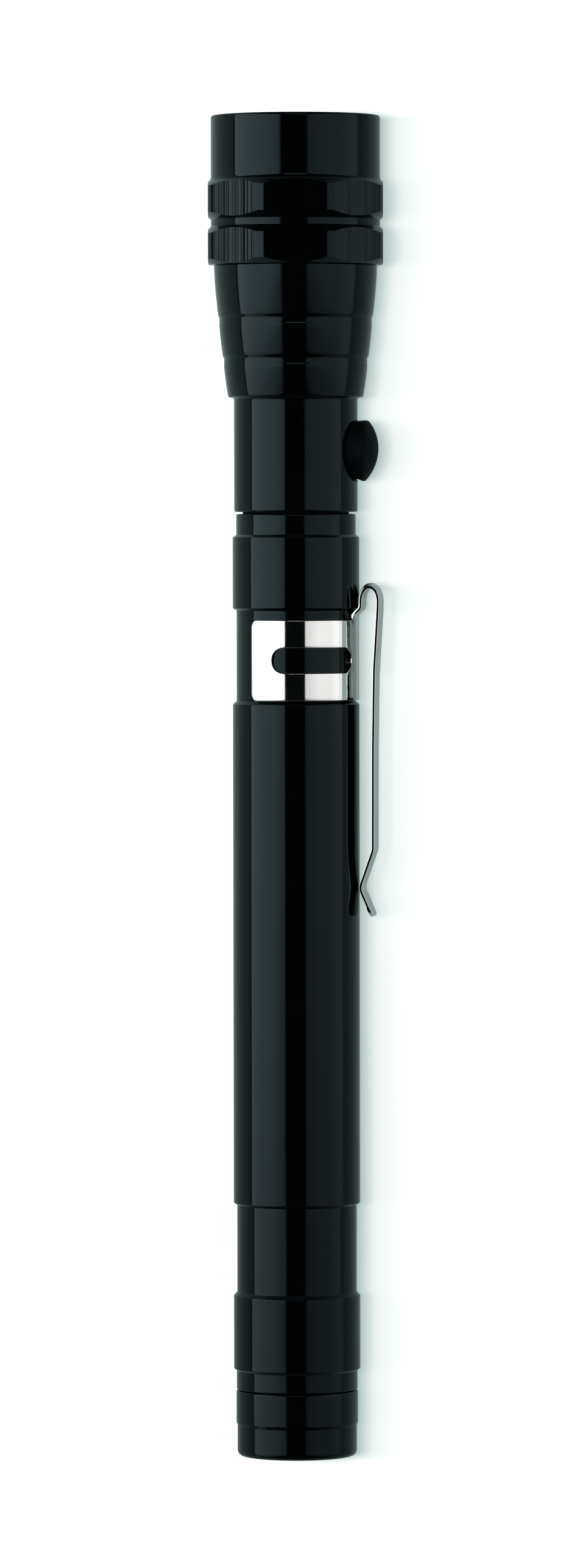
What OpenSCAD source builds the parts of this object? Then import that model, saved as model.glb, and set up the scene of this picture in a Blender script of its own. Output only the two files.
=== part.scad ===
// Telescopic flashlight with a pocket clip. A light head rides on a gooseneck and three nested
// rods, which pull out of a barrel with a magnet in its tail. Every piece is drawn upright on the
// flashlight's own axis, tail at zero, and is then laid along +Y on one flat of the grip rings.

/* [Bezel] */
// Wall of the brim round the light plate
brim_wall = 1.35; // [1:0.05:2]
// Length of the plain brim in front of the rings
brim_len = 7.7; // [5:0.01:14]
// Radius of the rounded front edge
brim_edge = 0.3; // [0.1:0.05:0.5]
// Bevel at the mouth of the light bore
mouth_bevel = 0.2; // [0.1:0.05:0.4]
// How far the groove floor between the grip rings stands above the brim
ring_floor_rise = 0.05; // [0.02:0.01:0.3]
// How far the flats of the grip rings stand above the groove floor
ring_flat_rise = 0.35; // [0.2:0.05:1]
// How far the rounded corners of the grip rings stand above their flats
ring_corner_rise = 0.7; // [0.4:0.05:0.9]
// Length of the front grip ring
front_ring_len = 5.8; // [3:0.05:8]
// Length of the groove between the grip rings
ring_groove_len = 0.4; // [0.4:0.05:2]
// Length of the rear grip ring
rear_ring_len = 5; // [3:0.05:8]
// Length of the chamfer that runs from a ring's corners to its flats
ring_chamfer = 0.5; // [0.2:0.05:1]
// Length of the steeper slope from there down to the groove floor
ring_slope = 0.45; // [0.1:0.05:0.8]
// Length of that slope on the rear face of the rear ring
ring_rear_slope = 0.1; // [0.05:0.05:0.8]
// Depth of the light bore, down to the ledge under the light board
light_bore_depth = 10.9; // [10.5:0.1:15]
// Radial gap between the battery sleeve and the threaded neck
bezel_neck_clear = 0.75; // [0.2:0.05:1]
// Wall of the threaded neck that screws into the switch housing
bezel_neck_wall = 1.3; // [1.1:0.05:2]
// Length of that neck
bezel_neck_len = 7; // [4:0.1:9]

/* [Switch housing] */
// Wall of the straight part that carries the button
housing_wall = 1.13; // [0.8:0.01:2]
// Radius of the rounded edges of the straight part
housing_edge = 0.35; // [0.1:0.05:0.6]
// Distance from the button's flange to the front end of the straight part
neck_above_button = 2.425; // [1.5:0.005:5]
// Lengths of the two rear taper bands, rear to front
taper_lens = [5.25, 5.2]; // [3:0.1:12]
// How far each of the three taper bands draws in over its length, rear to front
taper_drops = [0.6, 0.37, 0.42]; // [0.1:0.02:0.7]
// Power of the curve by which a taper band draws in
taper_bow = 1.8; // [1:0.1:3]
// Height of the small step between two taper bands
taper_step = 0.2; // [0.05:0.05:0.3]
// Length over which such a step blends
taper_step_len = 0.25; // [0.1:0.05:1]
// Wall round the bezel's neck at the front of the taper
socket_wall = 1.63; // [1.3:0.01:2.5]

/* [Button] */
// Angle that the button is turned up from the side
button_turn = 7; // [-180:1:180]
// Diameter of the button where it leaves the housing
button_waist_d = 7.45; // [5.6:0.05:8]
// How far the button's rim stands over its waist
button_rim = 0.125; // [0.05:0.025:0.3]
// Thickness of that rim
button_rim_t = 0.25; // [0.1:0.05:0.5]
// Gap between the button's waist and its hole in the housing
button_gap = 0.3; // [0.1:0.05:0.4]
// How far the rim stands out from the housing
button_stand = 1.02; // [0.6:0.02:2]
// Height of the dome over the rim
button_dome = 1.65; // [0.6:0.05:2.5]
// How far the button travels when pressed
button_travel = 1; // [0.5:0.1:1.1]
// Thickness of the inner flange that keeps the button in
flange_t = 0.8; // [0.5:0.1:1]
// How far that flange reaches past its hole
flange_lip = 0.25; // [0.1:0.05:0.4]
// Gap between that flange and the bore
flange_gap = 0.26; // [0.1:0.02:0.4]
// Gap between that flange and the neck plug below it
flange_rise = 0.425; // [0.2:0.005:1.5]
// Gap that is left over the switch when the button is pressed
switch_gap = 0.5; // [0.2:0.1:1]
// Side of the square push switch
switch_side = 6; // [4:0.5:7]
// Depth of the pocket that holds the switch
switch_depth = 5; // [3:0.1:6]
// How far the switch stands out of that pocket
switch_stand = 0.4; // [0.2:0.1:1]
// Diameter of the plunger between button and switch
plunger_d = 2.4; // [1.5:0.1:3.5]
// How deep the pressed plunger sits in the switch
plunger_seat = 2.2; // [1.5:0.1:2.5]

/* [Barrel] */
// Wall in the two grooves
groove_wall = 0.75; // [0.6:0.05:1.5]
// How far the grip and the two bands stand above the grooves
band_rise = 0.47; // [0.3:0.01:1.5]
// Wall of the collar at the mouth
collar_wall = 0.78; // [0.6:0.02:1.2]
// Wall of the foot above the tail cap
foot_wall = 0.83; // [0.6:0.01:1.2]
// Length of the foot
foot_len = 2.8; // [1.5:0.1:8]
// Length of the lower band
lower_band_len = 9.45; // [4:0.05:20]
// Length of the lower groove
lower_groove_len = 11.6; // [4:0.1:20]
// Length of the grip
grip_len = 63.45; // [50:0.05:100]
// Length of the groove that holds the clip
clip_groove_len = 12; // [8:0.1:20]
// Length of the upper band
upper_band_len = 9.1; // [6:0.1:20]
// Length of the collar at the mouth
collar_len = 2.95; // [1:0.05:8]
// Length of the bevel at each shoulder
shoulder_bevel = 0.5; // [0.2:0.05:0.9]
// Bevel at the two ends
end_bevel = 0.2; // [0.1:0.05:0.4]

/* [Tail cap] */
// Wall of the rim next to the barrel, over the barrel's bore
tail_rim_wall = 0.88; // [0.7:0.01:1.2]
// Length of the rim
tail_rim_len = 4.15; // [2:0.05:8]
// Wall of the end, over the barrel's bore
tail_end_wall = 0.74; // [0.5:0.02:1]
// Length of the end
tail_end_len = 4.05; // [3.5:0.05:8]
// Radius of the rounded tail edge
tail_edge = 0.8; // [0.3:0.1:1.5]
// Bevels of the rim
tail_bevel = 0.15; // [0.05:0.05:0.4]
// Length of the threaded neck inside the barrel
tail_neck_len = 4; // [3:0.1:6]
// Diameter of the magnet in the tail
tail_magnet_d = 10; // [6:0.5:12]
// Thickness of that magnet
tail_magnet_len = 3; // [2:0.1:5]

/* [Telescopic rods] */
// Outside diameter of the outer rod
rod_d = 10.2; // [9:0.1:14]
// Wall of each rod tube
rod_wall = 0.35; // [0.3:0.01:0.45]
// Radial gap between one rod and the next
rod_gap = 0.25; // [0.2:0.01:0.3]
// Length of the rolled lip at the top of each rod
lip_len = 1; // [0.5:0.1:2]
// Length of the friction bush at the foot of each rod
bush_len = 4; // [2:0.5:8]
// Wall of the guide bush in the barrel's mouth
guide_wall = 1.65; // [1:0.05:3]
// Length of that bush
guide_len = 5; // [3:0.5:10]

/* [Gooseneck] */
// Distance from one rib to the next
rib_pitch = 1.6; // [1.2:0.1:2.5]
// Depth of the grooves between the ribs
rib_depth = 0.45; // [0.2:0.05:0.6]
// Wall of the gooseneck over its ribs
neck_wall = 1.2; // [0.9:0.05:1.6]
// How far the journal that turns in the lowest bush is set in from the gooseneck's outside
journal_step = 0.5; // [0.3:0.05:0.8]
// Thickness of the flange under that bush
journal_flange = 0.8; // [0.5:0.1:2]
// Length of the journal's pin inside the gooseneck
journal_pin_len = 5; // [2:0.5:10]
// Length of the plug inside the housing
plug_body_len = 3; // [2:0.1:5]
// How far the plug reaches into the barrel's mouth
plug_reach = 2.5; // [1:0.1:5]
// Thickness of the plug over the gooseneck's end
plug_floor = 1; // [0.5:0.1:2]
// Bevel at the plug's lower end
plug_bevel = 0.3; // [0.1:0.05:0.5]

/* [Clip] */
// Thickness of the spring steel
clip_thick = 0.4; // [0.3:0.05:0.6]
// Width of the arm
clip_width = 5.2; // [3:0.1:7]
// Angle that the clip is turned up from the side
clip_turn = 7; // [-180:1:180]
// How much shorter the band is than the flat of its groove
clip_play = 1.35; // [0.2:0.05:3]
// Angle that each wing of the band wraps from the arm
clip_wrap_angle = 128; // [110:1:150]
// Radius of the corners of the wings
clip_corner = 0.65; // [0.2:0.05:1.5]
// Height of the slot in each wing
slot_h = 3.25; // [1.5:0.05:5]
// Angle from the arm at which each slot starts
slot_start_angle = 17; // [8:1:40]
// Angle from the end of a wing at which its slot ends
slot_end_angle = 22; // [10:1:60]
// Gap between the barrel and the strand that rises to the loop
strand_gap = 0.26; // [0.1:0.01:0.6]
// How far below the groove's upper end the strand starts to step out over the shoulder
kink_below = 0.75; // [0.4:0.05:1]
// How far above it that step ends
kink_above = 0.15; // [0.05:0.05:0.4]
// Length over which the bends of that step are eased
kink_ease = 0.3; // [0.1:0.05:0.4]
// Diameter of the loop, at the middle of the steel
loop_d = 2.2; // [1.5:0.05:4]
// Height of the loop's centre above the groove
loop_rise = 1.8; // [1:0.05:5]
// Angle through which the arm can be sprung open
flex_angle = 5; // [2:0.5:8]
// Gap between the barrel and the arm, where a pocket's edge goes
pocket_gap = 1.8; // [1:0.05:4]
// Length of the arm from the loop's centre to its heel
arm_len = 32.3; // [20:0.1:50]
// Length of its upper part, which leans in from the loop
arm_lean_len = 14.2; // [8:0.1:18]
// Length of the slanted part from heel to toe
heel_len = 4.8; // [3:0.1:8]
// Length of the flared tip below the toe
tip_len = 3.6; // [2:0.1:6]
// Length over which the bends of the arm are eased
arm_ease = 1.2; // [0.4:0.1:1.6]
// Gap between the toe and the barrel
toe_gap = 0.1; // [0.1:0.05:0.6]
// Length of the stiffening rib that is pressed into the arm, from the loop's centre
rib_len = 19.2; // [5:0.1:25]
// Width of that rib
rib_w = 1.4; // [0.8:0.1:2.5]
// Height of that rib
rib_h = 0.2; // [0.1:0.02:0.3]
// Wall at the sides of that rib
rib_wall = 0.25; // [0.15:0.05:0.35]

/* [Light] */
// Diameter of each light-emitting diode
led_d = 5; // [3:0.1:6]
// Overall height of each diode
led_h = 8.7; // [7:0.1:8.8]
// How far the flange at the foot of each diode stands out
led_flange = 0.4; // [0.2:0.05:0.7]
// Height of that flange
led_flange_h = 1; // [0.6:0.1:1.5]
// How much wider than its diode each cup in the light plate opens
cup_flare = 1; // [0.3:0.1:1.5]
// Height of the straight foot of each cup
cup_foot = 0.5; // [0.2:0.1:1]
// How far the light plate lies behind the front edge
plate_recess = 1.3; // [0.5:0.1:2]
// Thickness of the light plate
plate_t = 2; // [1.5:0.1:2.5]
// Width of the light plate outside the diodes
plate_rim = 0.8; // [0.6:0.05:2]
// Diameter of the magnet in the middle of the plate
front_magnet_d = 5.2; // [4:0.1:8]
// Length of that magnet
front_magnet_len = 6; // [4:0.1:6.6]
// How far the magnet's face lies behind the front edge
front_magnet_recess = 0.3; // [0:0.1:1]
// Bevel on the edges of both magnets
magnet_bevel = 0.25; // [0.1:0.05:0.5]
// Wall of the well that holds the front magnet
well_wall = 0.6; // [0.4:0.05:1]
// Floor of that well
well_floor = 0.4; // [0.3:0.05:1]
// Gap between that well and the diodes
led_gap = 0.3; // [0.1:0.05:1]
// Thickness of the light board
board_t = 1.2; // [0.8:0.1:1.6]
// Diameter of the stud that meets the front cell
stud_d = 3; // [2:0.1:5]
// Diameter of that stud's head
stud_head_d = 6; // [4:0.1:8]
// Length of that stud
stud_len = 1.05; // [0.6:0.05:3]

/* [Battery] */
// Number of button cells
cell_count = 4; // [3:1:5]
// Diameter of a button cell
cell_d = 11.6; // [10:0.05:12.5]
// Height of a button cell
cell_h = 5.4; // [4.5:0.05:6]
// How much narrower the cap of a cell is, on each side
cell_rim = 0.9; // [0.5:0.05:1.5]
// Height of that cap
cell_cap_h = 0.5; // [0.3:0.05:1]
// Bevel on a cell's edges
cell_bevel = 0.3; // [0.1:0.05:0.5]
// Wall of the insulating sleeve
sleeve_wall = 0.7; // [0.5:0.05:1]
// Radial gap between that sleeve and the housing
sleeve_gap = 0.15; // [0.05:0.05:0.3]
// Length that the spring under the cells keeps
spring_len = 2.6; // [2.4:0.1:3]
// Wire of that spring
spring_wire = 0.5; // [0.3:0.05:0.6]
// Turns of that spring
spring_turns = 2.5; // [1.5:0.5:2.5]
// Mean diameter of that spring
spring_d = 8; // [5:0.5:9]
// Thickness of the contact board under the spring
contact_t = 0.8; // [0.6:0.1:1.2]
// Gap between the button's flange and that board
contact_rise = 0.925; // [0.2:0.005:2]

/* [Fits] */
// Radial gap of pieces that slide or turn in each other
slide_gap = 0.05; // [0.03:0.01:0.08]
// Radial gap left round pieces that are pressed together
press_gap = 0.01; // [0.005:0.005:0.03]
// Gap at seams, stops and stacked pieces
seam_gap = 0.05; // [0.02:0.01:0.1]
// Gap between the head and the barrel when the rods are in
head_gap = 0.25; // [0.1:0.05:0.5]
// Free length over and under the nested rods
rod_play = 0.3; // [0.2:0.05:1]
// Depth of the groove for each sealing ring
seal_depth = 0.8; // [0.6:0.05:0.9]
// Length of that groove
seal_groove_len = 1.2; // [1:0.1:1.6]
// Land between that groove and the shoulder beside it
seal_land = 0.6; // [0.4:0.1:1]
// Bevel at the end of each threaded neck
thread_bevel = 0.3; // [0.1:0.05:0.5]

/* [Hidden] */
$fn = 96;

ANODISED = "#17191c";
CHROME = "#d5d8da";
BRASS = "#c9a85c";
RUBBER = "#101113";
PLASTIC = "#2b2d30";
BOARD = "#1f6b3a";
NICKEL = "#b9bcc0";
CLEAR = "#e8f1f5";

// Diameters of the light parts and the bezel, from the front magnet outwards
well_r = front_magnet_d / 2 + well_wall;
led_circle_r = well_r + led_gap + led_d / 2;
light_bore_d = 2 * (led_circle_r + led_d / 2 + plate_rim);
brim_d = light_bore_d + 2 * brim_wall;
ring_floor_d = brim_d + 2 * ring_floor_rise;
ring_flats = ring_floor_d + 2 * ring_flat_rise;
ring_corner_d = ring_flats + 2 * ring_corner_rise;

// Diameters of the battery and the switch housing, from the cells outwards
sleeve_id = cell_d + 2 * slide_gap;
sleeve_d = sleeve_id + 2 * sleeve_wall;
housing_bore_d = sleeve_d + 2 * sleeve_gap;
housing_d = housing_bore_d + 2 * housing_wall;
bezel_neck_bore = sleeve_d + 2 * bezel_neck_clear;
bezel_neck_d = bezel_neck_bore + 2 * bezel_neck_wall;
socket_d = bezel_neck_d + 2 * slide_gap;
taper_d = socket_d + 2 * socket_wall;

// Diameters of the rods, the barrel and the tail cap, from the outer rod both ways
neck_d = rod_od(3);
neck_bore = neck_d - 2 * neck_wall;
journal_d = neck_d - 2 * journal_step;
bore_d = rod_d + 2 * (slide_gap + guide_wall);
groove_d = bore_d + 2 * groove_wall;
band_d = groove_d + 2 * band_rise;
foot_d = bore_d + 2 * foot_wall;
collar_d = bore_d + 2 * collar_wall;
tail_rim_d = bore_d + 2 * tail_rim_wall;
tail_end_d = bore_d + 2 * tail_end_wall;

// Light parts, along the axis from the bezel's rear face
rings_len = rear_ring_len + ring_groove_len + front_ring_len;
bezel_len = rings_len + brim_len;
board_z = bezel_len - light_bore_depth + seam_gap;
diode_z = board_z + board_t + seam_gap;
plate_z = bezel_len - plate_recess - plate_t;
front_magnet_z = bezel_len - front_magnet_recess - front_magnet_len;
well_z = front_magnet_z - seam_gap - well_floor;

// Button, switch and battery parts, along the axis from the housing's rear end
button_hole_r = button_waist_d / 2 + button_gap;
flange_half = button_hole_r + flange_lip;
button_z = plug_body_len + flange_rise + flange_half;
carrier_z = plug_body_len + seam_gap;
contact_z = button_z + flange_half + contact_rise;
spring_z = contact_z + contact_t + seam_gap;
cells_z = spring_z + spring_len + seam_gap;
cells_len = cell_count * (cell_h + seam_gap);
socket_len = bezel_neck_len + seam_gap;
housing_neck_len = button_z + flange_half + neck_above_button;
housing_len = cells_z + cells_len + stud_len - board_z;
band_lens = concat(taper_lens, housing_len - housing_neck_len - sum_to(taper_lens, len(taper_lens)));

// Button parts, out from the flashlight's axis
button_rim_r = housing_d / 2 + button_stand;
flange_r = sqrt(pow(housing_bore_d / 2, 2) - pow(flange_half, 2)) - flange_gap - flange_t;
switch_top = flange_r - button_travel - switch_gap;
plunger_foot = switch_top - plunger_seat;

// Heights along the flashlight's axis, from the tail up
tail_len = tail_end_len + tail_rim_len;
barrel_z = tail_len + seam_gap;
barrel_lens = [
    foot_len, lower_band_len, lower_groove_len, grip_len, clip_groove_len, upper_band_len, collar_len,
];
barrel_ds = [foot_d, band_d, groove_d, band_d, groove_d, band_d, collar_d];
clip_groove_z = barrel_z + sum_to(barrel_lens, 4);
barrel_top = barrel_z + sum_to(barrel_lens, len(barrel_lens));
head_z = barrel_top + head_gap;
bezel_z = head_z + housing_len + seam_gap;
total_len = bezel_z + bezel_len;

// Nest of rods: index 0 is the outer rod, 1 the middle, 2 the inner and 3 the gooseneck
rod_foot = barrel_z + tail_neck_len + rod_play;
rod_top = barrel_top - plug_reach - rod_play;
rod_len = rod_top - rod_foot;

// Clip: heights, and distances from the flashlight's axis to the middle of the steel
groove_end = clip_groove_z + clip_groove_len;
clip_z = clip_groove_z + shoulder_bevel / 2 + seam_gap;
clip_band_h = clip_groove_len - shoulder_bevel - seam_gap - clip_play;
clip_top = clip_z + clip_band_h;
band_r = groove_d / 2 + slide_gap + clip_thick / 2;
strand_r = band_d / 2 + strand_gap + clip_thick / 2;
loop_z = groove_end + loop_rise;
arm_top_r = strand_r + loop_d;
arm_r = band_d / 2 + pocket_gap + clip_thick / 2;
toe_r = band_d / 2 + toe_gap + clip_thick / 2;
heel_z = loop_z - arm_len;
toe_z = heel_z - heel_len;
tip_z = toe_z - tip_len;
loop_seam_angle = seam_gap * 360 / (PI * loop_d);
rib_groove_w = rib_w - 2 * rib_wall;

echo(total_len = total_len, extended_len = total_len + outer_travel() + 2 * rod_travel() + neck_travel());
echo(outer_travel = outer_travel(), rod_travel = rod_travel(), neck_travel = neck_travel());
echo(spring_gap = spring_len / spring_turns - spring_wire);
echo(loop_axis = [strand_r + loop_d / 2, loop_z], axis_height = ring_flats / 2);

// Sum of the first n entries of a list
function sum_to(list, n) = n <= 0 ? 0 : list[n - 1] + sum_to(list, n - 1);

// Outside and inside diameters of the nested rods
function rod_od(i) = rod_d - 2 * i * (rod_wall + rod_gap);
function rod_id(i) = rod_od(i) - 2 * rod_wall;

// How far each stage of the telescope pulls out
function outer_travel() = rod_len - bush_len - guide_len - seam_gap;
function rod_travel() = rod_len - bush_len - lip_len - seam_gap;
function neck_travel() = rod_travel() - journal_flange - seam_gap;

// Points of a quarter round from angle a to angle b about a centre
function round_edge(centre, r, a, b, steps = 4) =
    [for (i = [0:steps]) let (t = a + (b - a) * i / steps) centre + r * [cos(t), sin(t)]];

// Outline of a bent strip of a given thickness along a path
function heading(p, q) = (q - p) / norm(q - p);
function side(v) = [v[1], -v[0]];
function mitre(path, i) =
    let (
        last = len(path) - 1,
        before = side(heading(path[max(i - 1, 0)], path[max(i, 1)])),
        after = side(heading(path[min(i, last - 1)], path[min(i + 1, last)]))
    ) (before + after) / (1 + before * after);
function strip(path, thick) =
    concat(
        [for (i = [0:len(path) - 1]) path[i] + mitre(path, i) * thick / 2],
        [for (i = [len(path) - 1:-1:0]) path[i] - mitre(path, i) * thick / 2]
    );

// The same path moved sideways
function shifted(path, shift) = [for (i = [0:len(path) - 1]) path[i] + mitre(path, i) * shift];

// The same path with each inner corner eased over a length
function eased(path, ease, steps = 5) =
    [
        for (i = [0:len(path) - 1])
            if (i == 0 || i == len(path) - 1)
                path[i]
            else
                let (
                    a = path[i] + heading(path[i], path[i - 1]) * ease,
                    b = path[i] + heading(path[i], path[i + 1]) * ease
                )
                for (k = [0:steps])
                    let (t = k / steps) a * (1 - t) * (1 - t) + path[i] * 2 * t * (1 - t) + b * t * t,
    ];

// Lays an upright piece along +Y, resting on a flat of the grip rings
module laid() {
    translate([0, -total_len / 2, ring_flats / 2]) rotate([-90, 0, 0]) children();
}

// Turns a piece that is drawn along +X up from the flashlight's side
module turned(angle) {
    rotate([0, 0, -angle]) children();
}

module tube(od, id, h) {
    difference() {
        cylinder(d = od, h = h);
        translate([0, 0, -1]) cylinder(d = id, h = h + 2);
    }
}

// Rubber sealing ring that fills its groove, in a bore of diameter d
module sealing_ring(bore, neck) {
    section = (bore - neck) / 2 + seal_depth - 2 * slide_gap;
    rotate_extrude() translate([neck / 2 - seal_depth + slide_gap + section / 2, 0])
        circle(d = section, $fn = 32);
}

// One eight-sided grip ring, chamfered like a nut, standing on the bezel's core
module grip_ring(z, len, rear_slope) {
    root_r = (ring_floor_d + light_bore_d) / 4;
    translate([0, 0, z]) intersection() {
        rotate_extrude() polygon([
            [root_r, 0], [ring_floor_d / 2, 0], [ring_flats / 2, rear_slope],
            [ring_corner_d / 2, rear_slope + ring_chamfer],
            [ring_corner_d / 2, len - ring_slope - ring_chamfer], [ring_flats / 2, len - ring_slope],
            [ring_floor_d / 2, len], [root_r, len],
        ]);
        rotate(22.5) cylinder(d = ring_flats / cos(22.5), h = len, $fn = 8);
    }
}

// Front shell: brim, two grip rings and the threaded neck with its seal groove
module bezel() {
    neck_r = bezel_neck_d / 2;
    groove_z = -seam_gap - seal_groove_len - seal_land;
    color(ANODISED) laid() translate([0, 0, bezel_z]) {
        rotate_extrude() polygon(concat(
            [
                [bezel_neck_bore / 2, -bezel_neck_len], [neck_r - thread_bevel, -bezel_neck_len],
                [neck_r, thread_bevel - bezel_neck_len], [neck_r, groove_z], [neck_r - seal_depth, groove_z],
                [neck_r - seal_depth, groove_z + seal_groove_len], [neck_r, groove_z + seal_groove_len],
                [neck_r, 0], [ring_floor_d / 2, 0], [ring_floor_d / 2, rings_len], [brim_d / 2, rings_len],
            ],
            round_edge([brim_d / 2 - brim_edge, bezel_len - brim_edge], brim_edge, 0, 90),
            [
                [light_bore_d / 2 + mouth_bevel, bezel_len], [light_bore_d / 2, bezel_len - mouth_bevel],
                [light_bore_d / 2, bezel_len - light_bore_depth],
                [bezel_neck_bore / 2, bezel_len - light_bore_depth],
            ]
        ));
        grip_ring(0, rear_ring_len, ring_rear_slope);
        grip_ring(rear_ring_len + ring_groove_len, front_ring_len, ring_slope);
    }
}

module bezel_seal() {
    seal_z = bezel_z - seam_gap - seal_land - seal_groove_len / 2;
    color(RUBBER) laid() translate([0, 0, seal_z]) sealing_ring(socket_d, bezel_neck_d);
}

// Places its children at each of the three diodes
module at_diodes() {
    for (i = [0:2]) rotate(90 + 120 * i) translate([led_circle_r, 0, 0]) children();
}

// Bright plate with a cup round each diode and a well behind it for the magnet
module light_plate() {
    color(CHROME) laid() translate([0, 0, bezel_z]) difference() {
        union() {
            translate([0, 0, plate_z]) cylinder(d = light_bore_d - 2 * press_gap, h = plate_t);
            translate([0, 0, well_z]) cylinder(r = well_r, h = plate_z - well_z + plate_t);
        }
        translate([0, 0, front_magnet_z - seam_gap])
            cylinder(d = front_magnet_d + 2 * press_gap, h = front_magnet_len + 1);
        at_diodes() {
            translate([0, 0, plate_z - 1]) cylinder(d = led_d + 2 * slide_gap, h = plate_t + 2);
            translate([0, 0, plate_z + cup_foot])
                cylinder(d1 = led_d + 2 * slide_gap, d2 = led_d + cup_flare, h = plate_t - cup_foot + 0.01);
        }
    }
}

module front_magnet() {
    r = front_magnet_d / 2;
    edge = magnet_bevel;
    color(NICKEL) laid() translate([0, 0, bezel_z + front_magnet_z]) rotate_extrude() polygon([
        [0, 0], [r - edge, 0], [r, edge], [r, front_magnet_len - edge], [r - edge, front_magnet_len],
        [0, front_magnet_len],
    ]);
}

// Three round diodes, each a flange, a barrel and a domed top
module light_diodes() {
    r = led_d / 2;
    color(CLEAR) laid() translate([0, 0, bezel_z + diode_z]) at_diodes() rotate_extrude() polygon(concat(
        [[0, 0], [r + led_flange, 0], [r + led_flange, led_flange_h], [r, led_flange_h]],
        round_edge([0, led_h - r], r, 0, 90, 8)
    ));
}

module light_board() {
    color(BOARD) laid() translate([0, 0, bezel_z + board_z])
        cylinder(d = light_bore_d - 2 * slide_gap, h = board_t);
}

// Brass stud under the light board, which meets the front cell
module light_contact() {
    color(BRASS) laid() translate([0, 0, head_z + cells_z + cells_len]) {
        cylinder(d = stud_d, h = stud_len);
        translate([0, 0, stud_len / 2]) cylinder(d = stud_head_d, h = stud_len / 2);
    }
}

// Outline of one taper band, rear to front, drawing in towards its rear end
function taper_band(i) =
    let (
        later = len(band_lens) - 1 - i,
        front_drops = sum_to(taper_drops, len(taper_drops)) - sum_to(taper_drops, i + 1),
        r = taper_d / 2 - taper_step * later - front_drops,
        z = housing_neck_len + sum_to(band_lens, i + 1),
        rise = band_lens[i] - (i == 0 ? 0 : taper_step_len)
    ) [for (k = [0:6]) let (u = 1 - k / 6) [r - taper_drops[i] * pow(u, taper_bow), z - rise * u]];

// Tapered shell behind the bezel, bored for the cells, the switch and the neck plug
module switch_housing() {
    rear = taper_band(0);
    edge = housing_edge;
    color(ANODISED) laid() translate([0, 0, head_z]) difference() {
        rotate_extrude() polygon(concat(
            [[housing_bore_d / 2, 0]],
            round_edge([housing_d / 2 - edge, edge], edge, -90, 0),
            [[housing_d / 2, housing_neck_len]],
            round_edge([rear[0][0] - edge, housing_neck_len + edge], edge, -90, 0),
            [for (i = [1:len(rear) - 1]) rear[i]],
            taper_band(1), taper_band(2),
            [
                [socket_d / 2, housing_len], [socket_d / 2, housing_len - socket_len],
                [housing_bore_d / 2, housing_len - socket_len],
            ]
        ));
        turned(button_turn) translate([0, 0, button_z]) rotate([0, 90, 0])
            cylinder(r = button_hole_r, h = housing_d);
    }
}

module battery_sleeve() {
    color(PLASTIC) laid() translate([0, 0, head_z + spring_z])
        tube(sleeve_d, sleeve_id, spring_len + cells_len);
}

// Four button cells, each with its narrower cap facing the tail
module button_cells() {
    r = cell_d / 2;
    color(NICKEL) laid() for (i = [0:cell_count - 1])
        translate([0, 0, head_z + cells_z + i * (cell_h + seam_gap)]) rotate_extrude() polygon([
            [0, 0], [r - cell_rim, 0], [r - cell_rim, cell_cap_h], [r - cell_bevel, cell_cap_h],
            [r, cell_cap_h + cell_bevel], [r, cell_h - cell_bevel], [r - cell_bevel, cell_h], [0, cell_h],
        ]);
}

// Compression spring wound from one wire, six-sided, eight rings to a turn
module battery_spring() {
    sides = 6;
    rings = 8 * spring_turns;
    rise = spring_len - spring_wire;
    points = [
        for (i = [0:rings], k = [0:sides - 1])
            let (turn = 360 * spring_turns * i / rings, a = 360 * k / sides)
            [
                (spring_d / 2 + spring_wire / 2 * cos(a)) * cos(turn),
                (spring_d / 2 + spring_wire / 2 * cos(a)) * sin(turn),
                spring_wire / 2 * (1 + sin(a)) + rise * i / rings,
            ],
    ];
    sides_faces = [
        for (i = [0:rings - 1], k = [0:sides - 1], half = [0:1])
            let (a = i * sides + k, b = i * sides + (k + 1) % sides)
            half == 0 ? [a, b, b + sides] : [a, b + sides, a + sides],
    ];
    ends = [[for (k = [0:sides - 1]) sides - 1 - k], [for (k = [0:sides - 1]) rings * sides + k]];
    color(NICKEL) laid() translate([0, 0, head_z + spring_z]) polyhedron(points, concat(sides_faces, ends));
}

module contact_board() {
    color(BOARD) laid() translate([0, 0, head_z + contact_z])
        cylinder(d = housing_bore_d - 2 * slide_gap, h = contact_t);
}

// Saddle that fills the bore behind the switch and holds it in a pocket
module switch_carrier() {
    d = housing_bore_d - 2 * slide_gap;
    depth = contact_z - seam_gap - carrier_z;
    pocket = switch_side + 2 * slide_gap;
    color(PLASTIC) laid() translate([0, 0, head_z]) turned(button_turn) difference() {
        translate([0, 0, carrier_z]) cylinder(d = d, h = depth);
        translate([switch_top - switch_stand, -d, carrier_z - 1]) cube([d, 2 * d, depth + 2]);
        translate([switch_top - switch_depth, -pocket / 2, button_z - pocket / 2])
            cube([d, pocket, pocket]);
    }
}

module push_switch() {
    bottom = switch_top - switch_depth + slide_gap;
    color(PLASTIC) laid() translate([0, 0, head_z + button_z]) turned(button_turn) difference() {
        translate([bottom, -switch_side / 2, -switch_side / 2])
            cube([switch_top - bottom, switch_side, switch_side]);
        translate([plunger_foot - seam_gap, 0, 0]) rotate([0, 90, 0])
            cylinder(d = plunger_d + 2 * slide_gap, h = switch_depth);
    }
}

module switch_plunger() {
    foot = plunger_foot + button_travel;
    color(NICKEL) laid() translate([0, 0, head_z + button_z]) turned(button_turn) translate([foot, 0, 0])
        rotate([0, 90, 0]) cylinder(d = plunger_d, h = flange_r - seam_gap - foot);
}

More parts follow.
